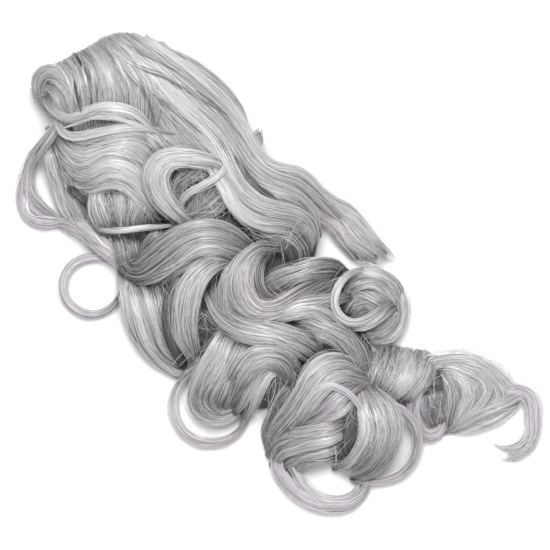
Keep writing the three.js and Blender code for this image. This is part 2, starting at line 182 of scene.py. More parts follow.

# Finishes of the hair: whether streaks run along the surface, how much darker it is, and its roughness; the
# darker inner hair and lock cores are painted shade among the strands
Finish = namedtuple("Finish", "name streaked darkening roughness")
INNER_FINISH = Finish("inner_hair_finish", True, 0.6, 0.6)
LOCK_FINISH = Finish("silver_lilac_locks", True, 0.42, 0.42)
STRAND_FINISH = Finish("silver_lilac_strands", False, -0.04, 0.3)
WISP_FINISH = Finish("loose_wisps", False, -0.04, 0.3)
GAP_FINISH = Finish("gap_strand_finish", False, 0.05, 0.4)
FLYAWAY_FINISH = Finish("flyaway_strands", False, 0.0, 0.36)

# Hair colour: how much a streak counts, the tones that go from shadow to full colour, and those lit past it
STREAK_TONE = 0.9
SHADOW_TONES = (-0.75, 0.05)
LIT_TONES = (0.0, 0.6)
LIT_GAIN = 1.3

# Streaks along the hair: how fine and how long, and the shares of broad and fine ones
STREAK_FINENESS = 9.0
STREAK_LENGTH = 0.35
STREAK_EDGES = (0.3, 0.7)
STREAK_SHARES = (0.65, 0.35)
FINE_STREAK_SCALE = 3.1

# Clip: ranges that its cloudy shade and its roughness keep to
CLIP_SHADES = (0.75, 1.25)
CLIP_ROUGHNESS = (0.28, 0.5)

# Stage, in metres: the floor, and a row for each light with the share that it has of the key light's power
FLOOR_HALF = 6.0
Light = namedtuple("Light", "name place size share")
LIGHTS = [
    Light("key_light", (-0.34, 0.36, 1.5), 0.8, 1.0),
    Light("fill_light", (0.9, -0.5, 1.4), 1.2, 0.25),
]
SENSOR_MM = 36.0
FARTHEST_SEEN = 20.0

# What a lock's look is called, and what it does: how light it is, how lilac, and how solid its clumps are
# The bright look is a painted highlight, and the shaded, dark and deep looks are painted shade
Look = namedtuple("Look", "tone tint body")
LOOKS = {
    "silver": Look(0.0, 0.25, 1.0),
    "bright": Look(0.16, 0.1, 1.0),
    "grey": Look(-0.08, 0.25, 1.0),
    "shaded": Look(-0.2, 0.3, 1.0),
    "dark": Look(-0.48, 0.3, 1.0),
    "deep": Look(-0.8, 0.3, 1.0),
    "lilac": Look(-0.02, 1.0, 0.9),
    "wispy": Look(0.05, 0.35, 0.0),
}

# Locks by group, a row for each: its full width and thickness in millimetres, the share left at its tip, its
# look, and points on its middle line from root to tip. A point is a place in the photograph, in its pixels
# across and down, and a height in millimetres.
LOCK_ROWS = {
    "crown": {
        # Roll at the clip's open end, sheets over the clip, and long ones that run on into the far waves
        "roll_outer": (12, 9, 0.7, "silver", (
            (38, 100, 22), (38, 91, 34), (42, 80, 43), (50, 75, 50), (59, 77, 54), (67, 85, 56),
            (73, 96, 55), (78, 108, 51))),
        "roll_inner": (8, 8, 0.7, "silver", (
            (42, 99, 18), (43, 92, 30), (48, 88, 40), (54, 89, 46), (60, 97, 49), (66, 108, 49),
            (73, 115, 46))),
        "roll_shade": (7, 7, 0.7, "shaded", (
            (44, 101, 14), (46, 97, 22), (50, 96, 32), (55, 103, 40), (61, 112, 44))),
        "left_sheet_1": (13, 11, 0.7, "grey", (
            (58, 67, 6), (60, 70, 44), (67, 76, 53), (72, 86, 56), (75, 97, 56), (78, 112, 50),
            (80, 126, 43))),
        "left_sheet_2": (12, 11, 0.7, "grey", (
            (66, 61, 6), (69, 66, 45), (74, 74, 54), (77, 86, 57), (78, 99, 56), (80, 113, 51),
            (82, 128, 43))),
        "left_sheet_3": (12, 11, 0.7, "grey", (
            (75, 56, 6), (78, 61, 46), (83, 71, 55), (86, 84, 58), (88, 98, 56), (90, 113, 51),
            (92, 129, 43))),
        "left_sheet_4": (10, 11, 0.7, "grey", (
            (83, 51, 6), (87, 57, 47), (93, 67, 56), (98, 81, 58), (99.5, 95, 56), (100, 112, 51),
            (101, 128, 44))),
        "middle_sheet_1": (12, 11, 0.7, "grey", (
            (90, 48, 6), (94, 54, 48), (102, 64, 56), (108, 79, 58), (111, 94, 57), (111, 112, 52),
            (112, 130, 44))),
        "middle_sheet_2": (13, 11, 0.7, "grey", (
            (96, 45, 6), (100, 51, 49), (110, 62, 57), (119, 78, 58), (123, 94, 57), (124, 112, 52),
            (124, 130, 45))),
        "middle_sheet_3": (14, 11, 0.7, "grey", (
            (101, 42, 6), (105, 48, 50), (118, 60, 57), (130, 77, 58), (137, 94, 57), (138, 113, 52),
            (136, 131, 45))),
        "middle_sheet_4": (14, 11, 0.7, "grey", (
            (106, 40, 6), (110, 46, 50), (125, 59, 57), (140, 76, 57), (150, 94, 56), (153, 112, 52),
            (150, 130, 45))),
        "under_sheet_1": (15, 10, 0.6, "silver", (
            (112, 42, 14), (124, 56, 48), (140, 74, 51), (154, 95, 50), (165, 116, 47), (174, 136, 44),
            (186, 153, 42))),
        "under_sheet_2": (15, 10, 0.6, "silver", (
            (114, 42, 14), (128, 57, 49), (146, 76, 52), (162, 97, 51), (176, 118, 48), (189, 137, 46),
            (204, 154, 44))),
        "long_sheet_1": (12, 10, 0.6, "silver", (
            (109, 38, 6), (113, 44, 49), (130, 61, 55), (148, 80, 55), (166, 102, 53), (184, 121, 50),
            (202, 138, 47), (217, 154, 46), (228, 171, 45), (238, 188, 44), (250, 202, 43), (266, 211, 41),
            (284, 215, 38), (299, 221, 34), (308, 232, 29), (310, 247, 22))),
        "long_sheet_2": (12, 10, 0.6, "silver", (
            (113, 36.5, 6), (117, 42, 49), (136, 62, 55), (156, 82, 54), (175, 101, 52), (194, 120, 49),
            (211, 138, 47), (223, 157, 46), (232, 175, 46), (243, 191, 45), (258, 203, 44), (276, 209, 42),
            (293, 213, 39), (307, 221, 34), (314, 234, 27), (312, 249, 21))),
        "long_sheet_3": (12, 10, 0.6, "silver", (
            (117, 36, 6), (121, 41, 48), (142, 62, 54), (163, 78, 54), (184, 96, 51), (204, 114, 48),
            (222, 133, 44), (235, 152, 41), (246, 169, 38), (260, 181, 36), (276, 188, 35), (292, 193, 33),
            (305, 202, 29), (314, 215, 24), (317, 230, 19))),
        "long_sheet_4": (12, 10, 1.0, "silver", (
            (122, 35.5, 6), (126, 40, 47), (148, 56, 53), (170, 72, 52), (192, 89, 49), (212, 107, 45),
            (229, 126, 40), (241, 144, 37), (252, 161, 35), (266, 173, 34), (282, 179, 33), (298, 184, 31),
            (311, 195, 27), (323, 207, 21), (335, 217, 15), (345, 229, 11), (354, 241, 8), (365, 253, 7),
            (380, 265, 6))),
        "long_sheet_5": (12, 10, 1.0, "silver", (
            (129, 36, 6), (133, 40, 45), (154, 52, 50), (176, 66, 48), (198, 82, 44), (218, 100, 39),
            (234, 119, 35), (244, 138, 33), (254, 155, 32), (266, 166, 31), (281, 172, 30), (297, 175, 28),
            (310, 184, 24), (321, 195, 19), (334, 204, 14), (348, 211, 11), (358, 221, 9), (367, 233, 8),
            (378, 246, 7), (393, 261, 6))),
        # Shaded parting between the long sheets
        "sheet_parting": (6, 5, 0.5, "deep", (
            (229, 154, 42), (236, 164, 45.5), (243, 174, 45.5), (251, 184, 44.5), (260, 192, 43),
            (271, 199, 41))),
        # Sheets at the far edge
        "edge_sheet": (13, 10, 0.5, "silver", (
            (131, 41, 5), (136, 45, 38), (158, 54, 43), (184, 66, 41), (206, 80, 36), (225, 97, 29),
            (238, 113, 21), (245, 128, 13))),
        "edge_underneath": (10, 10, 0.5, "silver", (
            (140, 47, 5), (146, 51, 27), (169, 60, 31), (191, 72, 29), (212, 87, 24), (230, 103, 17),
            (241, 118, 10))),
        # Falls that close the crown's ends
        "skirt_far_1": (13, 6, 0.6, "silver", (
            (141, 42, 3), (141, 43, 18), (144, 46, 34), (151, 51, 41), (166, 60, 42))),
        "skirt_far_2": (13, 6, 0.6, "silver", (
            (153, 43, 3), (152, 45, 18), (154, 48, 31), (161, 55, 37), (177, 66, 37))),
        "skirt_far_3": (13, 6, 0.6, "silver", (
            (159, 50, 3), (158, 52, 16), (160, 55, 26), (168, 63, 30), (186, 76, 29))),
        "skirt_far_4": (13, 6, 0.6, "silver", (
            (160, 59, 3), (160, 61, 12), (163, 65, 20), (174, 74, 24), (190, 87, 22))),
        "skirt_near_1": (13, 6, 0.6, "silver", (
            (39, 97, 3), (39.5, 96, 14), (41, 95, 25), (44, 92, 34))),
        "skirt_near_2": (13, 6, 0.6, "silver", (
            (43, 104, 3), (43.5, 103, 14), (45, 101.5, 24), (48, 99, 33))),
        "skirt_near_3": (13, 6, 0.6, "silver", (
            (48, 111, 3), (48.5, 110, 13), (50, 108, 23), (53, 106, 32))),
        "skirt_near_4": (13, 6, 0.6, "silver", (
            (55, 117, 3), (55.5, 116, 13), (57, 114, 22), (60, 112, 31))),
        "skirt_near_5": (13, 6, 0.6, "silver", (
            (64, 121, 3), (64.5, 120, 13), (66, 118, 22), (68.5, 116, 31))),
        "skirt_back_1": (13, 6, 0.6, "silver", (
            (35, 88, 3), (35.5, 88, 14), (37, 88, 25), (40, 88, 34))),
        "skirt_back_2": (13, 6, 0.6, "silver", (
            (38, 79, 3), (38.5, 79.5, 15), (40, 80.5, 27), (43.5, 82.5, 38))),
        "skirt_back_3": (13, 6, 0.6, "silver", (
            (47, 71, 3), (47.5, 72, 16), (49, 74, 30), (52.5, 77, 42))),
        # Single strands on the crown, and thin dark locks that paint the shade of its partings
        "crossing_strand": (0.9, 0.9, 0.6, "silver", (
            (60, 68, 55), (66, 76, 60), (71, 86, 62), (75, 95, 60))),
        "parting_1": (1.3, 1.3, 0.6, "deep", (
            (73, 53, 37), (77, 58, 51.5), (80, 62, 55.5), (83, 67, 58.5))),
        "parting_2": (1.2, 1.2, 0.6, "deep", (
            (86, 67, 61.5), (89, 74, 62), (91, 82, 61), (92, 91, 60), (92, 98, 59.5))),
        "parting_3": (1.1, 1.1, 0.6, "dark", (
            (106, 53, 59.5), (118, 60, 61.8), (132, 67, 61.8), (148, 73.5, 60.5), (164, 79, 58.5),
            (180, 88, 56), (196, 98, 53), (212, 107, 50))),
        "parting_4": (0.9, 0.9, 0.6, "dark", (
            (122, 44, 57), (138, 52, 58), (152, 59.5, 59.2), (164, 66, 58))),
        "parting_5": (0.9, 0.9, 0.6, "dark", (
            (148, 91, 60.8), (160, 101, 59.2), (173, 111, 56.5), (187, 122, 54), (200, 133, 52))),
        "parting_6": (0.8, 0.8, 0.6, "dark", (
            (112, 58, 61), (126, 72, 62.5), (138, 86, 63), (148, 100, 60.5), (152, 112, 56.5))),
        "parting_7": (0.9, 0.9, 0.6, "dark", (
            (196, 92, 53.5), (211, 104, 50.2), (225, 117, 46), (236, 131, 43.5))),
        "parting_8": (1.1, 1.1, 0.6, "deep", (
            (76, 82, 64.5), (78, 90, 63), (79.5, 98, 61))),
    },
    "wrap": {
        # Waves wrapped over the crown's lower side
        "wrap_front": (6, 7, 0.6, "bright", (
            (43, 91, 26), (48, 103, 36), (57, 113, 43), (69, 118, 48), (83, 115, 53), (98, 110, 57),
            (113, 108.5, 59), (129, 111, 58), (142, 118, 55), (151, 128, 50))),
        "wrap_split_1": (2.2, 2.5, 0.6, "bright", (
            (84, 118, 53), (98, 113.5, 58), (114, 113, 60.5), (130, 116, 60), (145, 124, 57),
            (156, 133, 52))),
        "wrap_split_2": (2, 2.2, 0.6, "bright", (
            (80, 124, 50), (96, 119, 56), (112, 119.5, 59), (127, 123, 58.5), (142, 128, 56),
            (160, 132, 51))),
        "wrap_under": (5, 5, 0.6, "silver", (
            (62, 125, 40), (78, 121, 48), (94, 116, 54), (110, 115.5, 57), (125, 118, 57), (138, 124, 54),
            (151, 132, 50))),
        "wrap_thin": (5, 5, 0.6, "bright", (
            (57, 121, 40), (62, 131, 45), (70, 137, 48), (83, 138, 51), (98, 135, 54), (114, 131.5, 56),
            (130, 130, 56), (146, 130, 53), (161, 134, 48))),
        "wrap_fill": (11, 7, 0.6, "silver", (
            (138, 124, 46), (150, 133, 46), (161, 144, 44), (171, 156, 41))),
        "wave_first": (9, 7, 0.6, "silver", (
            (66, 136, 36), (76, 146, 42), (90, 145, 47), (106, 141, 50), (122, 138, 51), (137, 137, 50),
            (149, 141, 47), (159, 151, 43))),
        "wave_second": (9, 7, 0.6, "bright", (
            (62, 138, 32), (72, 150, 39), (84, 153, 43), (98, 149, 47), (113, 146, 49), (128, 146, 49),
            (141, 150, 46), (152, 159, 43))),
        "wave_third": (9, 7, 0.6, "silver", (
            (58, 142, 28), (66, 155, 34), (76, 163, 38), (87, 162, 43), (99, 156, 46), (112, 152.5, 48),
            (126, 154, 48), (138, 160, 45), (147, 171, 42))),
        "wave_fourth": (9, 7, 0.6, "bright", (
            (60, 152, 24), (68, 164, 30), (78, 172, 35), (90, 172, 41), (102, 166.5, 45), (115, 164.5, 47),
            (128, 168, 46), (139, 176, 44), (146, 188, 40), (150, 201, 36))),
        "wave_fifth": (10, 8, 0.6, "bright", (
            (70, 174, 24), (81, 182, 31), (93, 180, 38), (106, 174.5, 43), (118, 174, 45), (130, 179, 44),
            (140, 188, 41), (147, 200, 38), (154, 211, 34))),
        "wave_sixth": (9, 7, 0.6, "silver", (
            (78, 184, 24), (89, 188, 32), (101, 184, 38), (112, 182, 41), (124, 185, 41), (134, 193, 39),
            (142, 204, 36), (150, 214, 32))),
    },
    "side": {
        # Loop and bands on the near side
        "side_loop": (7, 6, 0.6, "lilac", (
            (62, 120, 40), (51, 134, 35), (40, 147, 28), (31, 160, 19), (25.5, 175, 12), (23.5, 190, 9),
            (25, 205, 7), (31, 218, 7), (43, 224, 7), (57, 223, 8))),
        "side_loop_inner": (6.5, 6, 0.6, "silver", (
            (58, 129, 36), (48, 141, 31), (38, 153, 24), (30, 166, 16), (27.5, 180, 11), (32, 194, 9),
            (42, 206, 8), (53, 215, 8), (64, 221, 9))),
        "side_loop_low": (9, 6, 0.6, "lilac", (
            (25, 176, 9), (22.5, 190, 8), (23, 204, 7), (28, 215, 7), (38, 221, 7), (50, 222, 7),
            (62, 219, 9))),
        "side_fall_1": (7, 6, 0.6, "silver", (
            (47, 150, 26), (49, 164, 20), (53, 180, 15), (58, 196, 12), (64, 211, 11), (72, 224, 10))),
        "side_fall_2": (8, 7, 0.6, "silver", (
            (51, 150, 27), (55, 166, 22), (60, 183, 17), (65, 199, 14), (71, 214, 12), (80, 227, 11))),
        "side_fall_3": (9, 7, 0.6, "shaded", (
            (57, 148, 29), (63, 165, 25), (69, 182, 20), (73, 198, 17), (78, 213, 14), (86, 227, 12),
            (98, 241, 11))),
        # Painted shade: a dark lock in the hole beside the falls
        "side_fall_4": (9, 7, 0.6, "dark", (
            (66, 168, 25), (72, 178, 23), (78, 189, 21), (83, 200, 19))),
        "under_band": (10, 7, 0.6, "lilac", (
            (48, 221, 8), (61, 222, 10), (75, 227, 11), (88, 235, 12), (101, 245, 13), (113, 256, 14),
            (124, 268, 15))),
        "under_band_upper": (8, 7, 0.6, "silver", (
            (60, 213, 11), (71, 217, 13), (83, 224, 15), (95, 234, 16), (107, 244, 16), (118, 256, 16),
            (127, 269, 16))),
        "ringlet": (6, 6, 0.8, "lilac", (
            (126, 263, 14), (116, 259.5, 10), (103, 257, 7), (89, 257, 6), (75.5, 262, 6), (66, 271.5, 6),
            (62, 284, 6), (64, 297, 6), (72, 307.5, 6), (84, 313.5, 6), (97, 313.5, 6), (109, 308, 7),
            (118, 298, 9), (124, 287, 13))),
    },
    "knot": {
        # Knot under the waves
        "knot_1": (8, 8, 0.7, "shaded", (
            (94, 189, 27), (94, 203, 30), (96, 217, 29), (101, 229, 24))),
        "knot_2": (9, 8, 0.7, "grey", (
            (97, 185, 28), (99, 200, 32), (102, 215, 31), (107, 230, 25))),
        # Painted shade: knot_3 and knot_6 are dark locks in the knot's gaps
        "knot_3": (8, 7, 0.7, "dark", (
            (109, 185, 27), (111, 200, 29), (114, 215, 28), (119, 229, 24))),
        "knot_4": (8, 7, 0.7, "shaded", (
            (122, 187, 30), (122, 202, 31), (124, 216, 30), (126, 230, 26))),
        "knot_5": (10, 8, 0.7, "shaded", (
            (134, 193, 34), (133, 206, 34), (132, 218, 32), (131, 230, 28))),
        "knot_6": (8, 7, 0.7, "dark", (
            (144, 203, 33), (142, 213, 32), (140, 223, 30), (138, 233, 26))),
        # Painted shade: a deep dark lock over the hole by the knot
        "knot_hole": (13, 5, 0.8, "deep", (
            (75, 183, 24), (82, 189, 26), (89, 197, 25))),
        "knot_cross": (2.6, 3, 0.6, "bright", (
            (92, 224, 22), (101, 230, 33), (114, 231.5, 37), (130, 230, 38), (146, 228, 37), (160, 227, 34),
            (174, 225, 31))),
        # Painted shade: dark locks under the knot
        "knot_under_1": (9, 7, 0.6, "dark", (
            (117, 234, 20), (120, 246, 21), (123, 258, 21), (127, 270, 19))),
        "knot_under_2": (9, 7, 0.6, "dark", (
            (132, 238, 20), (133, 250, 21), (134, 262, 20))),
        "knot_under_3": (9, 7, 0.6, "dark", (
            (160, 230, 26), (154, 240, 26), (146, 250, 24), (138, 260, 21))),
    },
    "curl": {
        # Big curl by the crown and the hair inside it
        "big_curl_1": (8, 7, 0.7, "silver", (
            (229, 167, 46), (213, 160.5, 49), (196, 156.5, 50), (178, 154.5, 50), (161, 158, 50),
            (151, 167, 49), (148, 180, 48), (152, 194, 46), (160, 206, 43), (170, 216, 40))),
        "big_curl_2": (8, 7, 0.7, "bright", (
            (224, 168, 46), (206, 162, 48), (190, 159, 49), (174, 159, 49), (162, 164, 49), (156, 175, 48),
            (157, 189, 46), (164, 202, 44), (173, 213, 41), (183, 222, 39))),
        "big_curl_3": (7, 7, 0.7, "silver", (
            (218, 170, 44), (200, 164.5, 46), (184, 162.5, 47), (171, 166, 47), (164.5, 177, 46),
            (166, 191, 45), (173, 204, 43), (182, 214, 41), (192, 222, 38))),
        "big_curl_strand": (4, 4, 0.6, "bright", (
            (227, 165, 48), (221.5, 174, 50), (212, 181, 50), (201, 187, 49), (191, 193, 48),
            (184, 200, 46), (180, 209, 42))),
        # Painted shade: dark locks in the curl's hollow
        "curl_hollow_1": (11, 6, 0.7, "dark", (
            (214, 170, 32), (198, 172, 32), (184, 178, 31), (178, 190, 30), (181, 203, 30))),
        "curl_hollow_2": (11, 6, 0.7, "dark", (
            (224, 180, 33), (212, 190, 32), (200, 199, 31), (192, 210, 31), (190, 221, 31))),
        "curl_hollow_3": (10, 6, 0.7, "dark", (
            (230, 194, 34), (220, 203, 33), (210, 211, 33), (198, 218, 32), (186, 224, 31))),
    },
    "far": {
        # Far waves
        "far_low": (9, 8, 0.6, "shaded", (
            (240, 172, 36), (252, 184, 34), (267, 193, 33), (283, 198, 32), (297, 204, 29), (307, 213, 25),
            (313, 223, 20))),
        "far_tip_outer": (8, 7, 1.0, "silver", (
            (297, 176, 24), (310, 186, 21), (322, 196, 17), (335, 204, 13), (348, 211, 10), (358, 219, 9),
            (367, 230, 8), (376, 242, 8), (386, 252, 7), (397, 262, 6))),
        "far_tip_middle": (12, 7, 1.0, "silver", (
            (300, 186, 26), (313, 197, 22), (325, 207, 17), (337, 216, 12), (347, 227, 10), (357, 239, 9),
            (368, 249, 8), (381, 260, 7), (387, 266, 6))),
        "far_tip_inner": (8, 7, 1.0, "lilac", (
            (306, 206, 24), (317, 212, 18), (327, 219, 14), (336, 229, 11), (345, 242, 9), (356, 255, 7),
            (369, 266, 6))),
        "far_tuft": (10, 7, 0.7, "silver", (
            (250, 159, 29), (253, 149, 28), (256, 139, 26), (261, 127, 23))),
        "middle_wave_low": (9, 8, 0.6, "silver", (
            (210, 166, 45), (222, 184, 45), (233, 203, 44), (246, 216, 42), (261, 223.5, 40),
            (278, 226, 37), (293, 229, 33), (301, 239, 28))),
        "middle_wave_strand": (3, 3, 0.6, "bright", (
            (222, 178, 47), (228, 192, 48), (235, 206, 47), (245, 217, 46), (257, 225, 44),
            (270, 230, 40))),
        "far_shade_1": (9, 8, 0.6, "deep", (
            (252, 231, 30), (266, 236, 31), (280, 243, 31), (290, 253, 29), (292, 266, 26))),
        "far_shade_2": (9, 8, 0.6, "dark", (
            (270, 228, 30), (284, 233, 31), (297, 241, 30), (303, 253, 27), (300, 266, 24))),
    },
    "middle": {
        # Arch and falls of the middle
        "arch_1": (10, 8, 0.6, "silver", (
            (125, 246, 18), (126, 258, 22), (134, 267, 28), (148, 259, 37), (164, 246, 44), (182, 234, 47),
            (202, 228, 48), (222, 229.5, 46), (240, 237.5, 42), (254, 248, 36))),
        "arch_2": (9, 8, 0.6, "silver", (
            (121, 243, 15), (121, 258, 18), (127, 271, 23), (140, 274, 31), (156, 264, 38), (172, 252, 43),
            (190, 241, 46), (208, 237, 47), (226, 240, 45), (242, 247, 41), (255, 256, 35))),
        "arch_3": (9, 8, 0.6, "bright", (
            (137, 281, 26), (150, 278, 31), (165, 269, 36), (180, 259, 41), (195, 250, 44), (211, 247, 45),
            (228, 249, 43), (243, 254, 39))),
        "arch_4": (7, 7, 0.6, "lilac", (
            (158, 283, 24), (170, 275, 32), (182, 268, 37), (194, 260, 41), (207, 256, 43), (222, 257, 42),
            (236, 262, 38))),
        "fall_1": (10, 9, 0.6, "bright", (
            (222, 258, 40), (209, 262, 44), (197, 272, 46), (187, 286, 45), (181.5, 302, 43),
            (180, 319, 39), (182, 336, 33), (188, 350, 27), (196, 363, 20))),
        "fall_2": (9, 8, 0.6, "bright", (
            (226, 262, 40), (214, 267, 43), (204, 278, 45), (196, 293, 44), (192, 310, 41), (191, 327, 37),
            (193, 343, 31), (198, 358, 24))),
        # Painted shade: a dark lock in the strip beside the falls
        "fall_3": (9, 7, 0.6, "dark", (
            (183, 274, 32), (176, 286, 33), (171, 300, 32), (169, 316, 30), (170, 333, 27), (175, 348, 22),
            (182, 361, 17))),
        "fall_4": (9, 8, 0.6, "silver", (
            (240, 260, 40), (231, 274, 42), (226, 290, 41), (226, 305, 39), (229, 319, 36),
            (235, 331, 31))),
        "loop_middle_1": (9, 8, 0.6, "silver", (
            (274, 247, 37), (261, 246.5, 42), (249, 254, 44), (239, 267, 45), (234.5, 283, 45),
            (237, 299, 43), (246, 311, 42), (260, 317, 42), (276, 315, 42), (291, 307.5, 41),
            (306, 299, 40), (321, 292, 37), (336, 283, 33))),
        "loop_middle_2": (9, 8, 0.6, "lilac", (
            (269, 250, 37), (259, 254, 41), (250, 266, 43), (246.5, 282, 43), (250, 297, 43),
            (260, 307, 43), (274, 307.5, 43), (288, 300, 42), (302, 291, 40), (317, 284, 36),
            (331, 276, 32))),
        # Painted shade: a dark lock inside the loop
        "loop_middle_3": (9, 7, 0.6, "dark", (
            (267, 253, 36), (259, 262, 39), (256, 275, 40), (258, 288, 40), (265, 298, 39), (274, 302, 38),
            (285, 297, 37), (297, 289, 35))),
    },
    "fan": {
        # Fan on the near side
        "fan_1": (9, 7, 0.5, "silver", (
            (122, 275, 19), (125, 291, 21), (128, 308, 20), (133, 325, 17), (141, 342, 13), (152, 357, 9),
            (166, 369, 7), (181, 376, 7))),
        "fan_2": (9, 7, 0.5, "bright", (
            (130, 281, 21), (134, 297, 26), (138, 313, 26), (143, 329, 23), (150.5, 345, 18),
            (161, 359, 13), (173, 370, 10), (187, 377, 8))),
        "fan_3": (9, 7, 0.5, "silver", (
            (140, 283, 22), (145, 298, 28), (149, 313, 28), (153, 329, 25), (159, 344, 21), (168, 357, 16),
            (180, 367, 11))),
        "fan_4": (9, 7, 0.5, "shaded", (
            (152, 284, 21), (156, 299, 26), (159, 314, 26), (163, 330, 24), (169, 345, 20),
            (178, 358, 15))),
    },
    "sweep": {
        # Sweeps across the middle
        "across_1": (11, 9, 0.7, "silver", (
            (262, 290, 28), (275, 281, 34), (290, 274, 37), (306, 269, 38), (322, 266, 36), (336, 266, 31),
            (343, 271, 25))),
        "across_2": (9, 8, 0.7, "shaded", (
            (272, 292, 30), (287, 284, 35), (303, 277, 37), (319, 273.5, 35), (333, 273, 31))),
        "upper_sweep_1": (9, 7, 0.6, "bright", (
            (338, 299, 33), (321, 302, 38), (305, 304, 41), (289, 310, 42), (274, 317, 40))),
        "upper_sweep_2": (9, 8, 0.6, "silver", (
            (347, 331, 33), (331, 318.5, 38), (315, 312, 40), (298, 312, 41), (281, 316, 41),
            (264, 320, 39))),
        "broad_sweep_1": (9, 8, 0.6, "silver", (
            (320, 345, 33), (308, 338, 40), (292, 333, 44), (275, 329, 45), (258, 326, 45), (241, 321, 42),
            (227, 312, 38), (218, 299, 36), (215, 286, 35))),
        "broad_sweep_2": (11, 9, 0.6, "bright", (
            (318, 354, 32), (305, 345, 40), (290, 339, 44), (274, 335, 46), (257, 332, 46), (241, 328, 44),
            (226, 321, 40), (215, 310, 36), (209, 297, 33))),
        "broad_sweep_3": (9, 8, 0.6, "bright", (
            (309, 359, 31), (296, 350, 39), (283, 345, 43), (268, 341, 44), (252, 338, 44), (238, 335, 41),
            (226, 331, 36))),
        "join_1": (10, 7, 0.6, "silver", (
            (296, 316, 36), (315, 321, 38), (332, 328, 38), (346, 338, 35), (357, 350, 31), (365, 364, 27),
            (372, 378, 23))),
        "join_2": (9, 6, 0.6, "shaded", (
            (300, 327, 35), (318, 331, 36), (334, 339, 35), (346, 351, 32), (354, 364, 29),
            (360, 378, 25))),
        "small_arch": (7, 6, 0.6, "shaded", (
            (318, 352, 30), (318, 341, 34), (325, 333.5, 36), (335, 336.5, 35), (341, 348, 31))),
    },
    "loop": {
        # Broad loop on the near side
        "loop_ring": (6, 6, 0.7, "lilac", (
            (203, 364, 20), (188, 375, 14), (177, 389, 9), (173, 405, 7), (176, 421, 6), (185, 434, 6),
            (198, 441.5, 6), (213, 443.5, 6), (228, 440.5, 6), (239, 432, 7), (246, 420, 10),
            (250, 407, 14))),
        "loop_body_1": (10, 8, 0.6, "silver", (
            (227, 324, 29), (219, 340, 36), (210, 359, 34), (200, 379, 28), (194, 396, 20), (198, 410, 14),
            (210, 419, 12), (224, 421, 12), (238, 414, 14))),
        "loop_body_2": (10, 8, 0.6, "silver", (
            (236, 330, 31), (229, 347, 38), (220, 366, 36), (210, 386, 30), (204, 400, 22), (210, 412, 16),
            (222, 415, 14), (235, 409, 16))),
        "loop_body_3": (10, 8, 0.6, "silver", (
            (246, 336, 31), (239, 352, 38), (231, 370, 37), (222, 389, 31), (216, 402, 23), (222, 409, 18),
            (233, 404, 19))),
        "loop_body_4": (9, 8, 0.6, "silver", (
            (284, 366, 28), (272, 355, 35), (258, 354, 39), (247, 364, 39), (239, 381, 36), (232, 396, 29),
            (225, 408, 21))),
        "loop_right_1": (8, 7, 0.6, "bright", (
            (294, 390, 22), (288, 376, 29), (277, 369, 33), (267, 374, 34), (260, 387, 31), (254, 401, 24),
            (249, 412, 16), (245, 421, 9), (240, 429, 4))),
        "loop_right_2": (8, 7, 0.6, "silver", (
            (290, 380, 26), (280, 366, 33), (267, 363, 37), (257, 370, 37), (250, 385, 33), (243, 400, 27),
            (235, 412, 18))),
        # Painted shade: a deep dark lock at the loop's edge
        "loop_edge": (9, 7, 0.6, "deep", (
            (282, 374, 25), (275, 386, 23), (268, 398, 17))),
        "loop_arc_1": (9, 7, 0.6, "grey", (
            (229, 384, 37), (237, 370, 43.5), (248, 358, 46), (262, 351.5, 47), (278, 353, 46),
            (290, 361, 41), (298, 374, 33))),
        "loop_arc_2": (9, 7, 0.6, "shaded", (
            (235, 394, 34), (243, 379, 41.5), (252, 367, 44.5), (265, 360.5, 45), (278, 363, 43),
            (287, 372, 37), (292, 386, 30))),
    },
    "bun": {
        # Bun at the near end
        "bun_1": (9, 8, 1.0, "silver", (
            (353, 363, 32), (338, 357.5, 39), (322, 361, 42), (309.5, 373, 43), (301, 388, 41),
            (292, 403, 36), (283, 417, 29), (275, 429, 21), (270, 440, 12))),
        "bun_2": (9, 8, 1.0, "silver", (
            (355, 371, 34), (340, 366, 42), (325, 370, 45), (313, 381, 45), (304, 395, 42), (296, 409, 37),
            (286, 422, 30), (276, 434, 22), (270, 446, 13))),
        "bun_ring": (2.8, 3, 0.7, "bright", (
            (366, 434, 34), (363.5, 418, 40), (359, 404, 45), (351, 394, 48), (340, 387, 50),
            (328, 384.5, 50), (316, 388, 49), (306, 398, 46), (299, 411, 41), (293, 425, 34))),
        "bun_3": (9, 8, 0.6, "silver", (
            (357, 379, 36), (343, 377, 43), (330, 382, 45), (319, 393, 45), (310, 406, 42),
            (302, 419, 36))),
        "bun_4": (9, 8, 0.6, "lilac", (
            (357, 386, 36), (346, 391, 42), (334, 400, 44), (323, 410, 41), (311, 420, 35),
            (299, 428, 28))),
        "bun_5": (8, 7, 0.6, "silver", (
            (357, 396, 34), (348, 403, 40), (337, 411, 41), (323, 419, 37), (309, 426, 31))),
        "bun_6": (9, 8, 1.0, "silver", (
            (345, 422, 30), (332, 427, 36), (317, 431, 35), (301, 434, 30), (287, 439, 24), (276, 446, 17),
            (270, 455, 9))),
        "bun_7": (9, 8, 1.0, "bright", (
            (343, 433, 29), (331, 438, 34), (317, 442, 32), (301, 445, 26), (288, 450, 20), (278, 457, 13),
            (273, 465, 8))),
        "bun_8": (9, 7, 1.0, "silver", (
            (337, 446, 25), (325, 450, 27), (312, 453, 24), (300, 457, 18), (290, 463, 12), (283, 470, 8))),
        "bun_9": (8, 7, 1.0, "silver", (
            (328, 456, 20), (316, 459, 20), (306, 463, 15), (298, 468, 10), (293, 474, 8))),
        # Painted shade: dark locks along the bun's edge and in its wedge
        "bun_edge": (11, 7, 0.6, "dark", (
            (291, 388, 26), (283, 402, 22), (276, 415, 17), (271, 428, 12), (268, 441, 8), (269, 452, 6))),
        "bun_wedge": (11, 7, 0.6, "deep", (
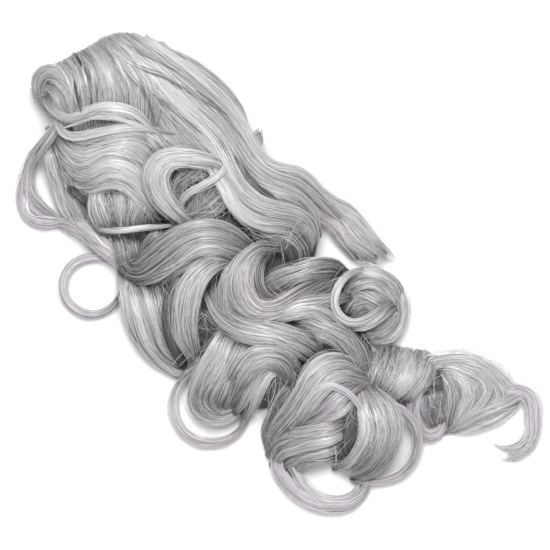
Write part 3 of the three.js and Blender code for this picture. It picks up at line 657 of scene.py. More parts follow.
            (354, 396, 32), (351, 412, 33), (350, 428, 31), (347, 444, 27), (340, 456, 22))),
        "bun_fan_1": (7, 8, 0.6, "bright", (
            (360, 394, 34), (363, 410, 40), (364.5, 426, 40), (362, 441, 36), (356, 454, 29),
            (347, 464, 21), (338, 468, 14))),
        "bun_fan_2": (15, 9, 0.7, "silver", (
            (367, 394, 33), (374, 410, 39), (377, 428, 39), (374, 446, 34), (366, 460, 26), (354, 470, 18),
            (341, 474, 12))),
        "bun_fan_3": (15, 9, 0.7, "silver", (
            (375, 395, 31), (386, 410, 36), (390, 428, 34), (387, 446, 28), (379, 461, 21), (367, 473, 14),
            (351, 479, 10))),
        "bun_side_ring": (5.5, 6, 0.7, "lilac", (
            (384, 401, 27), (400, 408, 25), (412, 420, 21), (418.5, 436, 16), (417.5, 452, 12),
            (410.5, 466, 9), (399, 476, 8), (385, 481, 8), (369, 483, 8), (354, 480, 9))),
        "bun_low_ring": (9, 6, 0.7, "lilac", (
            (296, 440, 12), (284, 448, 10), (277, 458, 9), (278, 470, 8), (287, 484, 7), (301, 497, 6),
            (318, 506, 6), (336, 508, 6), (352, 504, 6), (364, 493, 7), (369, 479, 10))),
        "bun_low_ring_inner": (6, 5, 0.7, "silver", (
            (289, 462, 13), (296, 476, 9), (304, 488, 7), (318, 497, 6), (335, 501, 6), (352, 496, 7),
            (361, 485, 9))),
    },
    "round": {
        # Round curl
        "round_curl_ring": (4.8, 5, 0.7, "silver", (
            (370, 270, 28), (356, 271, 34), (344, 277.5, 38), (336.5, 289, 39), (334, 302, 39),
            (338.5, 314.5, 39), (349, 322, 38), (361, 321.5, 37), (372, 316, 35), (383, 308, 31),
            (392, 302, 24), (399, 297, 16))),
        "round_curl_low": (7, 6, 0.7, "silver", (
            (350, 327, 30), (362, 326, 32), (374, 320, 31), (385, 313, 28), (393, 307, 21),
            (399, 302, 14))),
        "round_curl_top": (9, 7, 0.7, "silver", (
            (347, 282, 22), (357, 275.5, 27), (371, 273, 29), (384, 277, 28), (394, 286, 25),
            (400, 298, 20), (401, 310, 15))),
        "round_curl_inner": (9, 7, 0.7, "silver", (
            (348, 290, 20), (359, 283, 25), (372, 282, 26), (383, 287, 25), (391, 296, 22),
            (396, 307, 18))),
        "round_curl_heart_1": (11, 6, 0.8, "shaded", (
            (343, 307, 18), (348, 298, 19), (357, 292, 20), (368, 293, 21), (378, 299, 22),
            (387, 306, 21))),
        "round_curl_heart_2": (10, 6, 0.8, "shaded", (
            (350, 314, 17), (357, 305, 18), (367, 302, 19), (376, 306, 20), (383, 311, 19))),
        "round_curl_side": (9, 7, 0.7, "silver", (
            (396, 287, 22), (401, 298, 20), (402.5, 311, 16), (400, 324, 13), (392, 335, 11),
            (380, 340, 10), (368, 340, 10))),
        "round_curl_under": (9, 7, 0.7, "shaded", (
            (395, 311, 19), (391, 321, 17), (383, 329, 15), (373, 333, 14), (362, 334, 14))),
    },
    "tail": {
        # Neck of the tail
        "neck_1": (16, 8, 0.8, "shaded", (
            (391, 345, 4), (389, 350, 14), (384, 361, 20), (378, 374, 24), (373, 388, 22))),
        "neck_2": (16, 8, 0.8, "grey", (
            (402, 348, 4), (400, 353, 14), (396, 364, 19), (390, 377, 23), (381, 391, 21))),
        "neck_3": (16, 8, 0.8, "bright", (
            (413, 350, 4), (411, 355, 13), (407, 367, 18), (400, 380, 22), (391, 393, 19))),
        "neck_4": (16, 8, 0.8, "grey", (
            (424, 351, 4), (422, 356, 12), (417, 369, 17), (410, 382, 20), (401, 395, 17))),
        "neck_5": (13, 7, 0.8, "silver", (
            (431, 353, 4), (428, 358, 11), (422, 370, 15), (415, 384, 17), (407, 398, 14))),
        # Loose tail
        "tail_top": (9, 6, 0.6, "wispy", (
            (424, 360, 12), (440, 357, 13), (456, 355.5, 13), (472, 358.5, 12), (488, 364.5, 11),
            (502, 374, 10), (513, 386, 9), (521, 398, 7))),
        "tail_arc_1": (9, 6, 0.6, "silver", (
            (430, 368, 12), (444, 363, 13), (458, 363, 13), (472, 367, 13), (486, 374, 12), (497, 384, 11),
            (502, 395, 10), (497, 407, 9), (484, 416, 8), (468, 424, 7), (454, 430, 6))),
        "tail_arc_2": (9, 6, 0.6, "wispy", (
            (440, 368, 13), (454, 368, 14), (470, 373, 14), (483, 381, 13), (488, 392, 12), (484, 404, 11),
            (472, 414, 9), (458, 424, 8))),
        "tail_arc_3": (9, 6, 0.6, "silver", (
            (444, 370, 13), (456, 373, 14), (466, 381, 14), (470, 392, 13), (467, 406, 11), (460, 420, 9),
            (452, 431, 7))),
        "tail_arc_4": (8, 6, 0.6, "shaded", (
            (444, 372, 13), (451, 383, 13), (454, 397, 12), (452, 413, 10), (448, 429, 6))),
        "tail_inner_ring": (4, 4, 0.6, "wispy", (
            (478, 400, 10), (473, 391, 12), (479, 382, 12), (491, 380, 12), (500, 387, 11), (499, 398, 10),
            (489, 403, 9))),
        "tail_low_1": (8, 6, 0.6, "silver", (
            (528, 393, 7), (515, 399, 9), (500, 406, 10), (485, 412, 10), (469, 419, 9), (455, 428, 7),
            (446, 433, 5))),
        "tail_low_2": (8, 5, 0.6, "wispy", (
            (518, 404, 6), (503, 415, 7), (487, 424, 7), (470, 431, 6), (455, 433, 5))),
        "tail_loop": (9, 6, 0.6, "lilac", (
            (421, 388, 13), (415, 401, 10), (414, 415, 8), (418, 428, 6), (428, 436, 5), (437, 434.5, 5),
            (443, 427, 6), (447, 416, 8))),
        # Painted shade: dark locks inside the tail's loop and over its hole
        "tail_loop_fill": (18, 6, 0.8, "dark", (
            (431, 391, 8), (434, 404, 7), (438, 416, 6), (442, 427, 6))),
        "tail_hole": (18, 6, 0.8, "deep", (
            (420, 390, 8), (431, 381, 8), (443, 372, 8))),
        "tail_hook": (10, 6, 0.55, "lilac", (
            (494, 398, 9), (507, 393, 9), (520, 391.5, 7), (530, 396.5, 6), (535, 408, 5), (535.5, 423, 5),
            (533, 438, 5), (527, 449, 5), (517, 456, 5), (507, 457, 4))),
        "tail_brush_2": (7, 4, 0.4, "wispy", (
            (537, 422, 5), (535, 438, 5), (528, 451, 5), (517, 460, 4), (502, 461, 4))),
        "tail_brush_1": (6, 4, 0.4, "wispy", (
            (533, 424, 5), (529, 438, 5), (520, 447, 5), (508, 450, 4), (494, 444, 4))),
    },
}
GROUPS = tuple(LOCK_ROWS)
Lock = namedtuple("Lock", "name group width thick tip look path")
LOCKS = [Lock(name, group, *row) for group, rows in LOCK_ROWS.items() for name, row in rows.items()]

# Gaps between the locks: a row for each, with its middle and reach in the photograph's pixels, its height in
# millimetres, how many loose strands curl across it, and the way that they lean, in degrees
Gap = namedtuple("Gap", "across down reach height strands lean")
GAPS = [
    Gap(82, 128, 14, 45, 14, 10),
    Gap(83, 191, 9, 24, 18, 40),
    Gap(116, 208, 18, 36, 24, 80),
    Gap(149, 218, 8, 34, 10, 120),
    Gap(162, 243, 10, 32, 14, 150),
    Gap(135, 250, 14, 26, 18, 100),
    Gap(194, 184, 24, 42, 44, 130),
    Gap(214, 207, 20, 40, 34, 150),
    Gap(254, 231, 14, 38, 22, 20),
    Gap(280, 240, 18, 36, 26, 120),
    Gap(166, 289, 10, 34, 16, 90),
    Gap(210, 320, 15, 36, 34, 100),
    Gap(196, 355, 12, 26, 22, 120),
    Gap(277, 292, 10, 40, 16, 40),
    Gap(285, 388, 24, 34, 40, 100),
    Gap(277, 414, 13, 24, 26, 105),
    Gap(270, 436, 9, 18, 16, 100),
    Gap(351, 418, 9, 42, 14, 100),
    Gap(341, 450, 13, 32, 18, 150),
    Gap(365, 342, 12, 26, 20, 60),
    Gap(362, 364, 12, 32, 20, 60),
    Gap(352, 300, 14, 24, 16, 60),
    Gap(432, 382, 13, 18, 10, 120),
    Gap(440, 416, 12, 12, 14, 80),
    Gap(490, 392, 16, 12, 22, 20),
]
GAP_BEND_PX = (20.0, 110.0)
GAP_RUN = (1.2, 3.2)
GAP_MOST_TURN = 4.0
GAP_SPREAD = 0.8
GAP_SCATTER = 0.45
GAP_POINTS = 7
GAP_RISE_MM = 6
GAP_SLOPE_MM = 8
GAP_LOWEST_MM = 1.0
GAP_HALF_MM = 1.2
GAP_TINT = 0.3

# Inner hair under the locks, in millimetres: a row for each section along X, with its two edges along Y and
# its height
INNER = [
    (-205, 0, 70, 34),
    (-180, -18, 90, 34),
    (-150, -38, 95, 32),
    (-115, -46, 92, 28),
    (-80, -52, 78, 27),
    (-50, -66, 76, 27),
    (-22, -70, 76, 27),
    (0, -64, 58, 28),
    (28, -86, 52, 29),
    (55, -78, 54, 28),
    (78, -44, 52, 28),
    (105, -58, 46, 27),
    (128, -44, 36, 25),
    (150, -30, 14, 22),
    (170, -18, 4, 14),
]
INNER_FULLNESS = 0.7
INNER_POINTS = 64
INNER_STEPS = 120
INNER_LOWEST_MM = 0.3
INNER_SHRINK = 0.94
INNER_SINK = 0.75
INNER_UV = (40.0, 50.0)
# Painted shade: the inner hair's tone is darkened to stand for the shade under the locks
INNER_TONE = -0.3
INNER_TINT = 0.2
RIPPLE_MM = 1.6
RIPPLE_WAVES = 5
RIPPLE_HEIGHT = 0.4
RIPPLES_ALONG = 1.6
RIPPLE_BEAT = 3
RIPPLES_ROUND = (2, 22)
RIPPLE_PHASES = 6.3

# Crown under its locks, in millimetres: a row for each section along the spine, with its half width and
# height
CROWN = [
    (-48, 12, 36),
    (-40, 19, 50),
    (-20, 21, 56),
    (12, 21, 57),
    (34, 19, 55),
    (44, 14, 46),
    (50, 8, 26),
]
CLIP_MIDDLE = np.array((-212.0, 44.0, 0.0))
CLIP_TURN = math.radians(-20)
CROWN_STEPS = 40
CROWN_SHRINK = 0.86
CROWN_UV = (14.0, 10.0)
CROWN_TONE = 0.1


# Lines of the locks


def smooth_line(points):
    """Fine points on the centripetal curve through the given ones."""
    knots = np.array(points, float)
    ends = np.vstack((2 * knots[0] - knots[1], knots, 2 * knots[-1] - knots[-2]))
    share = np.linspace(0, 1, FINE_POINTS, endpoint=False)[:, None]
    fine = []
    for i in range(len(knots) - 1):
        p0, p1, p2, p3 = ends[i:i + 4]
        d0, d1, d2 = np.sqrt(np.linalg.norm(np.diff(ends[i:i + 4], axis=0), axis=1))
        t1 = ((p1 - p0) / d0 - (p2 - p0) / (d0 + d1) + (p2 - p1) / d1) * d1
        t2 = ((p2 - p1) / d1 - (p3 - p1) / (d1 + d2) + (p3 - p2) / d2) * d1
        square = 3 * (p2 - p1) - 2 * t1 - t2
        cube = 2 * (p1 - p2) + t1 + t2
        fine.append(p1 + t1 * share + square * share ** 2 + cube * share ** 3)
    fine.append(knots[-1:])
    return np.vstack(fine)


def unit(vectors):
    return vectors / np.maximum(np.linalg.norm(vectors, axis=1, keepdims=True), 1e-9)


def trace(points, step):
    """Even steps along the smooth line: places, sideways and upward directions, and length."""
    fine = smooth_line(points)
    run = np.concatenate(([0.0], np.cumsum(np.linalg.norm(np.diff(fine, axis=0), axis=1))))
    steps = max(FEWEST_STEPS, round(run[-1] / step))
    even = np.linspace(0, run[-1], steps + 1)
    places = np.column_stack([np.interp(even, run, fine[:, axis]) for axis in range(3)])
    along = unit(np.gradient(places, axis=0))
    side = unit(np.cross(UP, along))
    return places, side, np.cross(along, side), run[-1]


def fullness(place, tip):
    """Share of a lock's full width: it swells from the root and thins to the tip."""
    root = np.clip(place / SWELL, 0, 1)
    end = np.clip((1 - place) / SWELL, 0, 1)
    root = ROOT_SHARE + (1 - ROOT_SHARE) * root * root * (3 - 2 * root)
    end = tip + (1 - tip) * end * end * (3 - 2 * end)
    return np.minimum(root, end)


def sway(place, rng):
    """Slow random wave along a lock, about -1 to 1."""
    wave = np.zeros_like(place)
    for beat in SWAY_BEATS:
        wave += np.sin(2 * math.pi * (beat * place + rng.random())) * rng.uniform(*SWAY_HEIGHTS)
    return wave


Form = namedtuple("Form", "places side rise half_width half_thick length partings phase drift tone tint")


def laid(point):
    """Millimetres for a point in the photograph's pixels and a height; the object lies at 45 degrees."""
    across = (point[0] - PICTURE_MIDDLE[0]) * PIXEL_MM
    down = (point[1] - PICTURE_MIDDLE[1]) * PIXEL_MM
    return np.array(((across + down) * SLANT, (across - down) * SLANT, point[2]))


def has_free_root(lock):
    return lock.name in FREE_ROOTS or lock.group in FREE_GROUPS


def tucked_end(end, inner, thick):
    """A point past a lock's end, where it dives under its neighbours."""
    flat = (end - inner) * (1, 1, 0)
    run = np.clip(TUCK_RUN * end[2], *TUCK_RANGE_MM)
    extra = end + flat / max(np.linalg.norm(flat), 1.0) * run
    extra[2] = max(TUCK_LOWEST_MM, end[2] - TUCK_DEPTH * thick)
    return extra


def tucked_path(lock):
    """The lock's points, run on at each end that isn't free."""
    path = [laid(point) for point in lock.path]
    before = [] if has_free_root(lock) else [tucked_end(path[0], path[1], lock.thick)]
    after = [] if lock.name in FREE_TIPS else [tucked_end(path[-1], path[-2], lock.thick)]
    return before + path + after


def form_of(lock, step, seed):
    """The form of a lock: its middle line, section and partings, with a slow sway and roll."""
    rng = np.random.default_rng(seed)
    places, side, rise, length = trace(tucked_path(lock), step)
    place = np.linspace(0, 1, len(places))
    full = fullness(place, lock.tip * TIP_SHARE)
    if lock.name in FREE_TIPS:
        left = np.clip((1 - place) * length / POINT_RUN_MM, 0, 1)
        full = full * (POINT_SHARE + (1 - POINT_SHARE) * left ** POINT_CURVE)
    half_width = 0.5 * SPREAD * lock.width * full
    half_thick = 0.5 * FLATTEN * lock.thick * full
    places = places + SHIFT + side * (sway(place, rng) * SWAY_SHARE * lock.width)[:, None]
    crest = np.sin(math.pi * place)
    if lock.group != "crown":
        places[:, 2] += (ARCH * crest - DIVE * (1 - crest) ** 2) * lock.thick
    places[:, 2] = np.maximum(places[:, 2], FLOOR_SHARE * half_thick)
    roll = sway(place, rng) * ROLL
    turned_side = side * np.cos(roll)[:, None] + rise * np.sin(roll)[:, None]
    turned_rise = rise * np.cos(roll)[:, None] - side * np.sin(roll)[:, None]
    look = LOOKS[lock.look]
    # Painted shade where the lock tilts or dives under its neighbours, and a painted highlight at its crest
    tilt = np.abs(unit(np.gradient(places, axis=0))[:, 2])
    shade = TILT_TONE * tilt
    if not has_free_root(lock):
        shade += END_TONE * np.clip(1 - place / END_RUN, 0, 1) ** 2
    if lock.name not in FREE_TIPS:
        shade += END_TONE * np.clip(1 - (1 - place) / END_RUN, 0, 1) ** 2
    form_tone = (CREST_TONE * crest - shade) * CALM_GROUPS.get(lock.group, 1.0)
    tone = look.tone + GROUP_TONE.get(lock.group, 0.0) + rng.uniform(-LOCK_TONE, LOCK_TONE)
    tone = tone + form_tone + SLOW_TONE * sway(place, rng)
    partings = (max(FEWEST_WISPS, round(lock.width / WISP_MM)),
                max(FEWEST_FINE_WISPS, round(lock.width / FINE_WISP_MM)))
    phase = rng.uniform(0, PHASES, 2)
    drift = rng.uniform(-PART_DRIFT, PART_DRIFT, 2)
    tint = np.clip(look.tint + rng.uniform(-TINT_SPREAD, TINT_SPREAD), 0, 1)
    return Form(places, turned_side, turned_rise, half_width, half_thick, length,
                partings, phase, drift, tone, tint)


def shortened(form, run):
    """The form without the last of its length."""
    kept = 1 - run / form.length
    count = max(FEWEST_CUT_STEPS, round(len(form.places) * kept))
    cut = {key: getattr(form, key)[:count]
           for key in ("places", "side", "rise", "half_width", "half_thick", "tone")}
    return form._replace(length=form.length * kept, **cut)


def wisps_of(form, rng):
    """Thin loose wisps that wander across a lock's upper side."""
    count = len(form.places)
    place = np.linspace(0, 1, count)
    made = []
    for _ in range(WISPS_A_LOCK):
        turn = math.pi / 2 + rng.uniform(-WISP_TURN, WISP_TURN)
        turn = turn + rng.uniform(-WISP_WANDER, WISP_WANDER) * (place - 0.5)
        turn = turn + WISP_SWAY * sway(place, rng)
        reach = WISP_REACH + WISP_STAND * np.sin(math.pi * place)
        across = np.cos(turn) * form.half_width * reach
        above = np.sin(turn) * form.half_thick * reach
        places = form.places + form.side * across[:, None] + form.rise * above[:, None]
        swell = np.sin(math.pi * np.clip(place, WISP_END_RUN, 1 - WISP_END_RUN))
        half = rng.uniform(*WISP_HALF_MM) * (WISP_END_SHARE + (1 - WISP_END_SHARE) * swell)
        made.append(form._replace(
            places=places, half_width=half, half_thick=half * WISP_FLATNESS, partings=WISP_PARTINGS,
            tone=form.tone + rng.uniform(*WISP_TONES)))
    return made


# Meshes


class MeshParts:
    """Collects vertices, faces and per-point values of many tubes, and joins them into one mesh."""

    def __init__(self):
        self.points = []
        self.faces = []
        self.uvs = []
        self.values = {"tone": [], "tint": []}
        self.count = 0

    def add_tube(self, rings, uv_round, uv_along, tone, tint):
        rows, round_count = rings.shape[:2]
        base = self.count
        index = base + np.arange(rows * round_count).reshape(rows, round_count)
        after = np.roll(index, -1, axis=1)
        quads = np.stack((index[:-1], after[:-1], after[1:], index[1:]), axis=-1).reshape(-1, 4)
        u = np.linspace(0, uv_round, round_count + 1)
        u0, v0 = np.meshgrid(u[:-1], uv_along[:-1])
        u1, v1 = np.meshgrid(u[1:], uv_along[1:])
        quad_uv = np.stack((u0, v0, u1, v0, u1, v1, u0, v1), axis=-1).reshape(-1, 4, 2)
        self.points.append(rings.reshape(-1, 3))
        self.faces.extend(quads.tolist())
        self.uvs.append(quad_uv.reshape(-1, 2))
        self.faces.append(index[0][::-1].tolist())
        self.faces.append(index[-1].tolist())
        self.uvs.append(np.zeros((2 * round_count, 2)))
        self.values["tone"].append(np.broadcast_to(tone, (rows, round_count)).reshape(-1))
        self.values["tint"].append(np.full(rows * round_count, tint))
        self.count += rows * round_count

    def build(self, name, material):
        mesh = bpy.data.meshes.new(name)
        mesh.materials.append(material)
        mesh.from_pydata((np.vstack(self.points) * MM).tolist(), [], self.faces)
        layer = mesh.uv_layers.new(name="strand_uv")
        layer.data.foreach_set("uv", np.vstack(self.uvs).astype(np.float32).ravel())
        for key, parts in self.values.items():
            attribute = mesh.attributes.new(key, "FLOAT", "POINT")
            attribute.data.foreach_set("value", np.concatenate(parts).astype(np.float32))
        mesh.shade_smooth()
        return mesh


def valleys(form, turn, place):
    """How deep the partings cut at each turn and place, 0 to 1, coarse and fine."""
    made = []
    for count, phase, drift in zip(form.partings, form.phase, form.drift):
        fade = 0.5 + 0.5 * np.sin(FADE_BEAT * place + 2 * turn + phase)
        made.append((1 - np.abs(np.sin(count * turn + phase + drift * place)) ** PART_SHARPNESS) * fade)
    return made


def ripples(rows, round_count, rng):
    """Slow waves over a surface, about -1 to 1."""
    turn = np.linspace(0, 2 * math.pi, round_count, endpoint=False)[None, :]
    place = np.linspace(0, 1, rows)[:, None]
    wave = np.zeros((rows, round_count))
    for _ in range(RIPPLE_WAVES):
        beat = rng.uniform(-RIPPLES_ALONG, RIPPLES_ALONG) * RIPPLE_BEAT
        lie = rng.integers(*RIPPLES_ROUND) * turn + beat * place + rng.uniform(0, RIPPLE_PHASES)
        wave += np.cos(lie) * RIPPLE_HEIGHT
    return wave


def add_core(parts, form, body, rng):
    """Adds the surface of one lock, parted into wisps."""
    rows = len(form.places)
    round_mm = math.pi * (form.half_width.max() + form.half_thick.max())
    round_count = int(np.clip(round(round_mm / POINT_MM), FEWEST_POINTS, MOST_POINTS))
    turn = np.linspace(0, 2 * math.pi, round_count, endpoint=False)[None, :]
    place = np.linspace(0, 1, rows)[:, None]
    coarse, fine = valleys(form, turn, place)
    reach = (1 - PART_DEPTH * coarse - FINE_PART_DEPTH * fine) * body * CORE_SHARE
    reach[0] *= CAP_SHARE
    reach[-1] *= CAP_SHARE
    across = reach * np.cos(turn) * form.half_width[:, None]
    above = reach * np.sin(turn) * form.half_thick[:, None]
    rings = (form.places[:, None, :] + form.side[:, None, :] * across[..., None]
             + form.rise[:, None, :] * above[..., None])
    rings[..., 2] = np.maximum(rings[..., 2], CLEAR_MM)
    uv_along = np.linspace(0, form.length / UV_MM, rows) + rng.uniform(0, UV_STARTS)
    # Painted shade in the parting valleys
    tone = form.tone[:, None] - PART_SHADE * coarse - FINE_SHADE * PART_SHADE * fine
    parts.add_tube(rings, round_mm / UV_MM, uv_along, tone, form.tint)


def dome():
    """Shares of the way out and up, round the inner hair's section from one edge to the other."""
    turn = np.linspace(0, math.pi, INNER_POINTS)
    out = np.sign(np.cos(turn)) * np.abs(np.cos(turn)) ** INNER_FULLNESS
    return out, np.sin(turn) ** INNER_FULLNESS


def sections(rows, steps):
    """Columns of a table of sections, the first spread evenly in steps and the rest following it."""
    table = np.array(rows, float)
    first = np.linspace(table[0, 0], table[-1, 0], steps)
    return [first] + [np.interp(first, table[:, 0], column) for column in table[:, 1:].T]


def add_inner_pile(parts, rng):
    """Adds the rippled pile that the locks lie on."""
    x, low, high, height = sections(INNER, INNER_STEPS)
    out, rise = dome()
    ripple = ripples(INNER_STEPS, INNER_POINTS, rng) * RIPPLE_MM
    middle = (low + high) / 2
    half = (high - low) / 2 * INNER_SHRINK
    rings = np.empty((INNER_STEPS, INNER_POINTS, 3))
    rings[..., 0] = x[:, None]
    rings[..., 1] = middle[:, None] + half[:, None] * out
    rings[..., 2] = np.maximum(INNER_LOWEST_MM, (height[:, None] * INNER_SINK + ripple) * rise)
    uv_round, uv_along = INNER_UV
    parts.add_tube(rings + SHIFT, uv_round, np.linspace(0, uv_along, INNER_STEPS), INNER_TONE, INNER_TINT)


def add_inner_crown(parts):
    """Adds the hair that wraps over the clip, under the crown's sheets."""
    along, half, height = sections(CROWN, CROWN_STEPS)
    out, rise = dome()
    spine = np.array((math.sin(-CLIP_TURN), math.cos(CLIP_TURN), 0))
    across = np.array((math.cos(CLIP_TURN), math.sin(CLIP_TURN), 0))
    reach = (half * CROWN_SHRINK)[:, None] * out
    rings = CLIP_MIDDLE + along[:, None, None] * spine + reach[..., None] * across
    rings[..., 2] = np.maximum(INNER_LOWEST_MM, (height * CROWN_SHRINK)[:, None] * rise)
    uv_round, uv_along = CROWN_UV
    parts.add_tube(rings, uv_round, np.linspace(0, uv_along, CROWN_STEPS), CROWN_TONE, INNER_TINT)


def new_piece(name, mesh):
    """An object for a finished mesh, riding on the part and standing for its hair."""
    piece = bpy.data.objects.new(name, mesh)
    bpy.context.scene.collection.objects.link(piece)
    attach(piece, "root")
    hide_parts("hair")


# Nodes


class Wiring:
    """Adds nodes to a tree; an input is given by its index, as a value or as a socket to link."""

    def __init__(self, tree):
        self.tree = tree

    def node(self, kind, inputs=None, **settings):
        made = self.tree.nodes.new(kind)
        for key, value in settings.items():
            setattr(made, key, value)
        for key, value in (inputs or {}).items():
            socket = made.inputs[key]
            if isinstance(value, bpy.types.NodeSocket):
                self.tree.links.new(value, socket)
            else:
                socket.default_value = value
        return made

    def maths(self, operation, first, second=0.0, kind="ShaderNodeMath"):
        return self.node(kind, {0: first, 1: second}, operation=operation).outputs[0]

    def vector(self, operation, first, second):
        return self.maths(operation, first, second, "ShaderNodeVectorMath")

    def scaled(self, vector, factor):
        made = self.node("ShaderNodeVectorMath", {0: vector, "Scale": factor}, operation="SCALE")
        return made.outputs[0]

    def ranged(self, value, given=(0.0, 1.0), wanted=(0.0, 1.0)):
        pins = dict(enumerate((value, *given, *wanted)))
        return self.node("ShaderNodeMapRange", pins).outputs[0]


def new_group(name, kind, inputs, outputs):
    """An empty node group with named sockets, its wiring, and its input and output nodes."""
    tree = bpy.data.node_groups.new(name, kind)
    for label, socket, default in inputs:
        made = tree.interface.new_socket(label, in_out="INPUT", socket_type=socket)
        if default is not None:
            made.default_value = default
    for label, socket in outputs:
        tree.interface.new_socket(label, in_out="OUTPUT", socket_type=socket)
    wiring = Wiring(tree)
    return wiring, wiring.node("NodeGroupInput"), wiring.node("NodeGroupOutput")


def hair_colour_group():
    """Colour of the hair from its tone, which paints shadow or highlight into it, and from how lilac and
    streaked it is.
    """
    wiring, given, out = new_group(
        "Hair colour", "ShaderNodeTree",
        [("Silver", "NodeSocketColor", None), ("Lilac", "NodeSocketColor", None),
         ("Shadow", "NodeSocketColor", None), ("Tone", "NodeSocketFloat", 0.0),
         ("Tint", "NodeSocketFloat", 0.0), ("Streak", "NodeSocketFloat", 0.5)],
        [("Colour", "NodeSocketColor")])
    base = wiring.node("ShaderNodeMix", {0: given.outputs["Tint"], 6: given.outputs["Silver"],
                                         7: given.outputs["Lilac"]}, data_type="RGBA").outputs[2]
    streak = wiring.maths("MULTIPLY", wiring.maths("SUBTRACT", given.outputs["Streak"], 0.5), STREAK_TONE)
    light = wiring.maths("ADD", given.outputs["Tone"], streak)
    # Painted shadow below the full tone, and painted highlight above it
    dark = wiring.ranged(light, SHADOW_TONES, (1.0, 0.0))
    shaded = wiring.node("ShaderNodeMix", {0: dark, 6: base, 7: given.outputs["Shadow"]},
                         data_type="RGBA").outputs[2]
    gain = wiring.ranged(light, LIT_TONES, (1.0, LIT_GAIN))
    wiring.tree.links.new(wiring.scaled(shaded, gain), out.inputs["Colour"])
    return wiring.tree


def streak_group():
    """Fine streaks that run along the hair, from coordinates whose second axis runs along it."""
    wiring, given, out = new_group(
        "Hair streaks", "ShaderNodeTree",
        [("Along", "NodeSocketVector", None), ("Fineness", "NodeSocketFloat", STREAK_FINENESS),
         ("Length", "NodeSocketFloat", STREAK_LENGTH)],
        [("Streak", "NodeSocketFloat"), ("Height", "NodeSocketFloat")])
    split = wiring.node("ShaderNodeSeparateXYZ", {0: given.outputs["Along"]})
    across = wiring.maths("MULTIPLY", split.outputs[0], given.outputs["Fineness"])
    along = wiring.maths("MULTIPLY", split.outputs[1], given.outputs["Length"])
    place = wiring.node("ShaderNodeCombineXYZ", {0: across, 1: along}).outputs[0]
    coarse = wiring.node("ShaderNodeTexNoise", {"Vector": place, "Scale": 1.0, "Detail": 2.0,
                                                "Roughness": 0.6}).outputs[0]
    fine = wiring.node("ShaderNodeTexNoise", {"Vector": wiring.scaled(place, FINE_STREAK_SCALE), "Scale": 1.0,
                                              "Detail": 1.0}).outputs[0]
    sharp = wiring.ranged(coarse, STREAK_EDGES)
    broad_share, fine_share = STREAK_SHARES
    mixed = wiring.maths("ADD", wiring.maths("MULTIPLY", sharp, broad_share),
                         wiring.maths("MULTIPLY", fine, fine_share))
    wiring.tree.links.new(mixed, out.inputs["Streak"])
    wiring.tree.links.new(wiring.maths("ADD", mixed, fine), out.inputs["Height"])
    return wiring.tree


def group_of(name, make):
    return bpy.data.node_groups.get(name) or make()


def bare_material(name):
    """A new material, its wiring and its Principled shader."""
    material = bpy.data.materials.new(name)
    material.use_nodes = True
    wiring = Wiring(material.node_tree)
    return material, wiring, material.node_tree.nodes["Principled BSDF"]


def hair_material(finish, hair):
    """Hair finish: silver and lilac by the tint on the mesh, with painted shadow and highlight by its tone,
    streaked along the strands.
    """
    material, wiring, shader = bare_material(finish.name)
    tone = wiring.node("ShaderNodeAttribute", attribute_name="tone").outputs["Fac"]
    own = wiring.node("ShaderNodeAttribute", attribute_name="strand_tone").outputs["Fac"]
    tint = wiring.node("ShaderNodeAttribute", attribute_name="tint").outputs["Fac"]
    # The finish's darkening paints shade into the inner hair and lock cores
    light = wiring.maths("SUBTRACT", wiring.maths("ADD", tone, own), finish.darkening)
    colour = wiring.node("ShaderNodeGroup", node_tree=group_of("Hair colour", hair_colour_group))
    colour.inputs["Silver"].default_value = (*hair.silver, 1)
    colour.inputs["Lilac"].default_value = (*hair.lilac, 1)
    colour.inputs["Shadow"].default_value = (*hair.shadow, 1)
    wiring.tree.links.new(light, colour.inputs["Tone"])
    wiring.tree.links.new(tint, colour.inputs["Tint"])
    if finish.streaked:
        streaks = wiring.node("ShaderNodeGroup", node_tree=group_of("Hair streaks", streak_group))
        uv = wiring.node("ShaderNodeUVMap", uv_map="strand_uv").outputs[0]
        wiring.tree.links.new(uv, streaks.inputs["Along"])
        wiring.tree.links.new(streaks.outputs["Streak"], colour.inputs["Streak"])
        bump = wiring.node("ShaderNodeBump", {"Strength": 0.4, "Distance": 0.0005,
                                              "Height": streaks.outputs["Height"]})
        wiring.tree.links.new(bump.outputs[0], shader.inputs["Normal"])
    wiring.tree.links.new(colour.outputs["Colour"], shader.inputs["Base Color"])
    shader.inputs["Roughness"].default_value = finish.roughness
    shader.inputs["Specular IOR Level"].default_value = 0.65
    return material


def clip_material(clip):
    """Satin moulded plastic with a faint grain."""
    material, wiring, shader = bare_material("moulded_clip_plastic")
    place = wiring.node("ShaderNodeTexCoord").outputs["Object"]
    grain = wiring.node("ShaderNodeTexNoise", {"Vector": place, "Scale": 900.0, "Detail": 2.0}).outputs[0]
    cloud = wiring.node("ShaderNodeTexNoise", {"Vector": place, "Scale": 60.0, "Detail": 3.0}).outputs[0]
    shade = wiring.ranged(cloud, wanted=CLIP_SHADES)
    wiring.tree.links.new(wiring.scaled(clip.colour, shade), shader.inputs["Base Color"])
    rough = wiring.ranged(cloud, wanted=CLIP_ROUGHNESS)
    wiring.tree.links.new(rough, shader.inputs["Roughness"])
    bump = wiring.node("ShaderNodeBump", {"Strength": 0.15, "Distance": 0.0001, "Height": grain})
    wiring.tree.links.new(bump.outputs[0], shader.inputs["Normal"])
    return material


# Strands


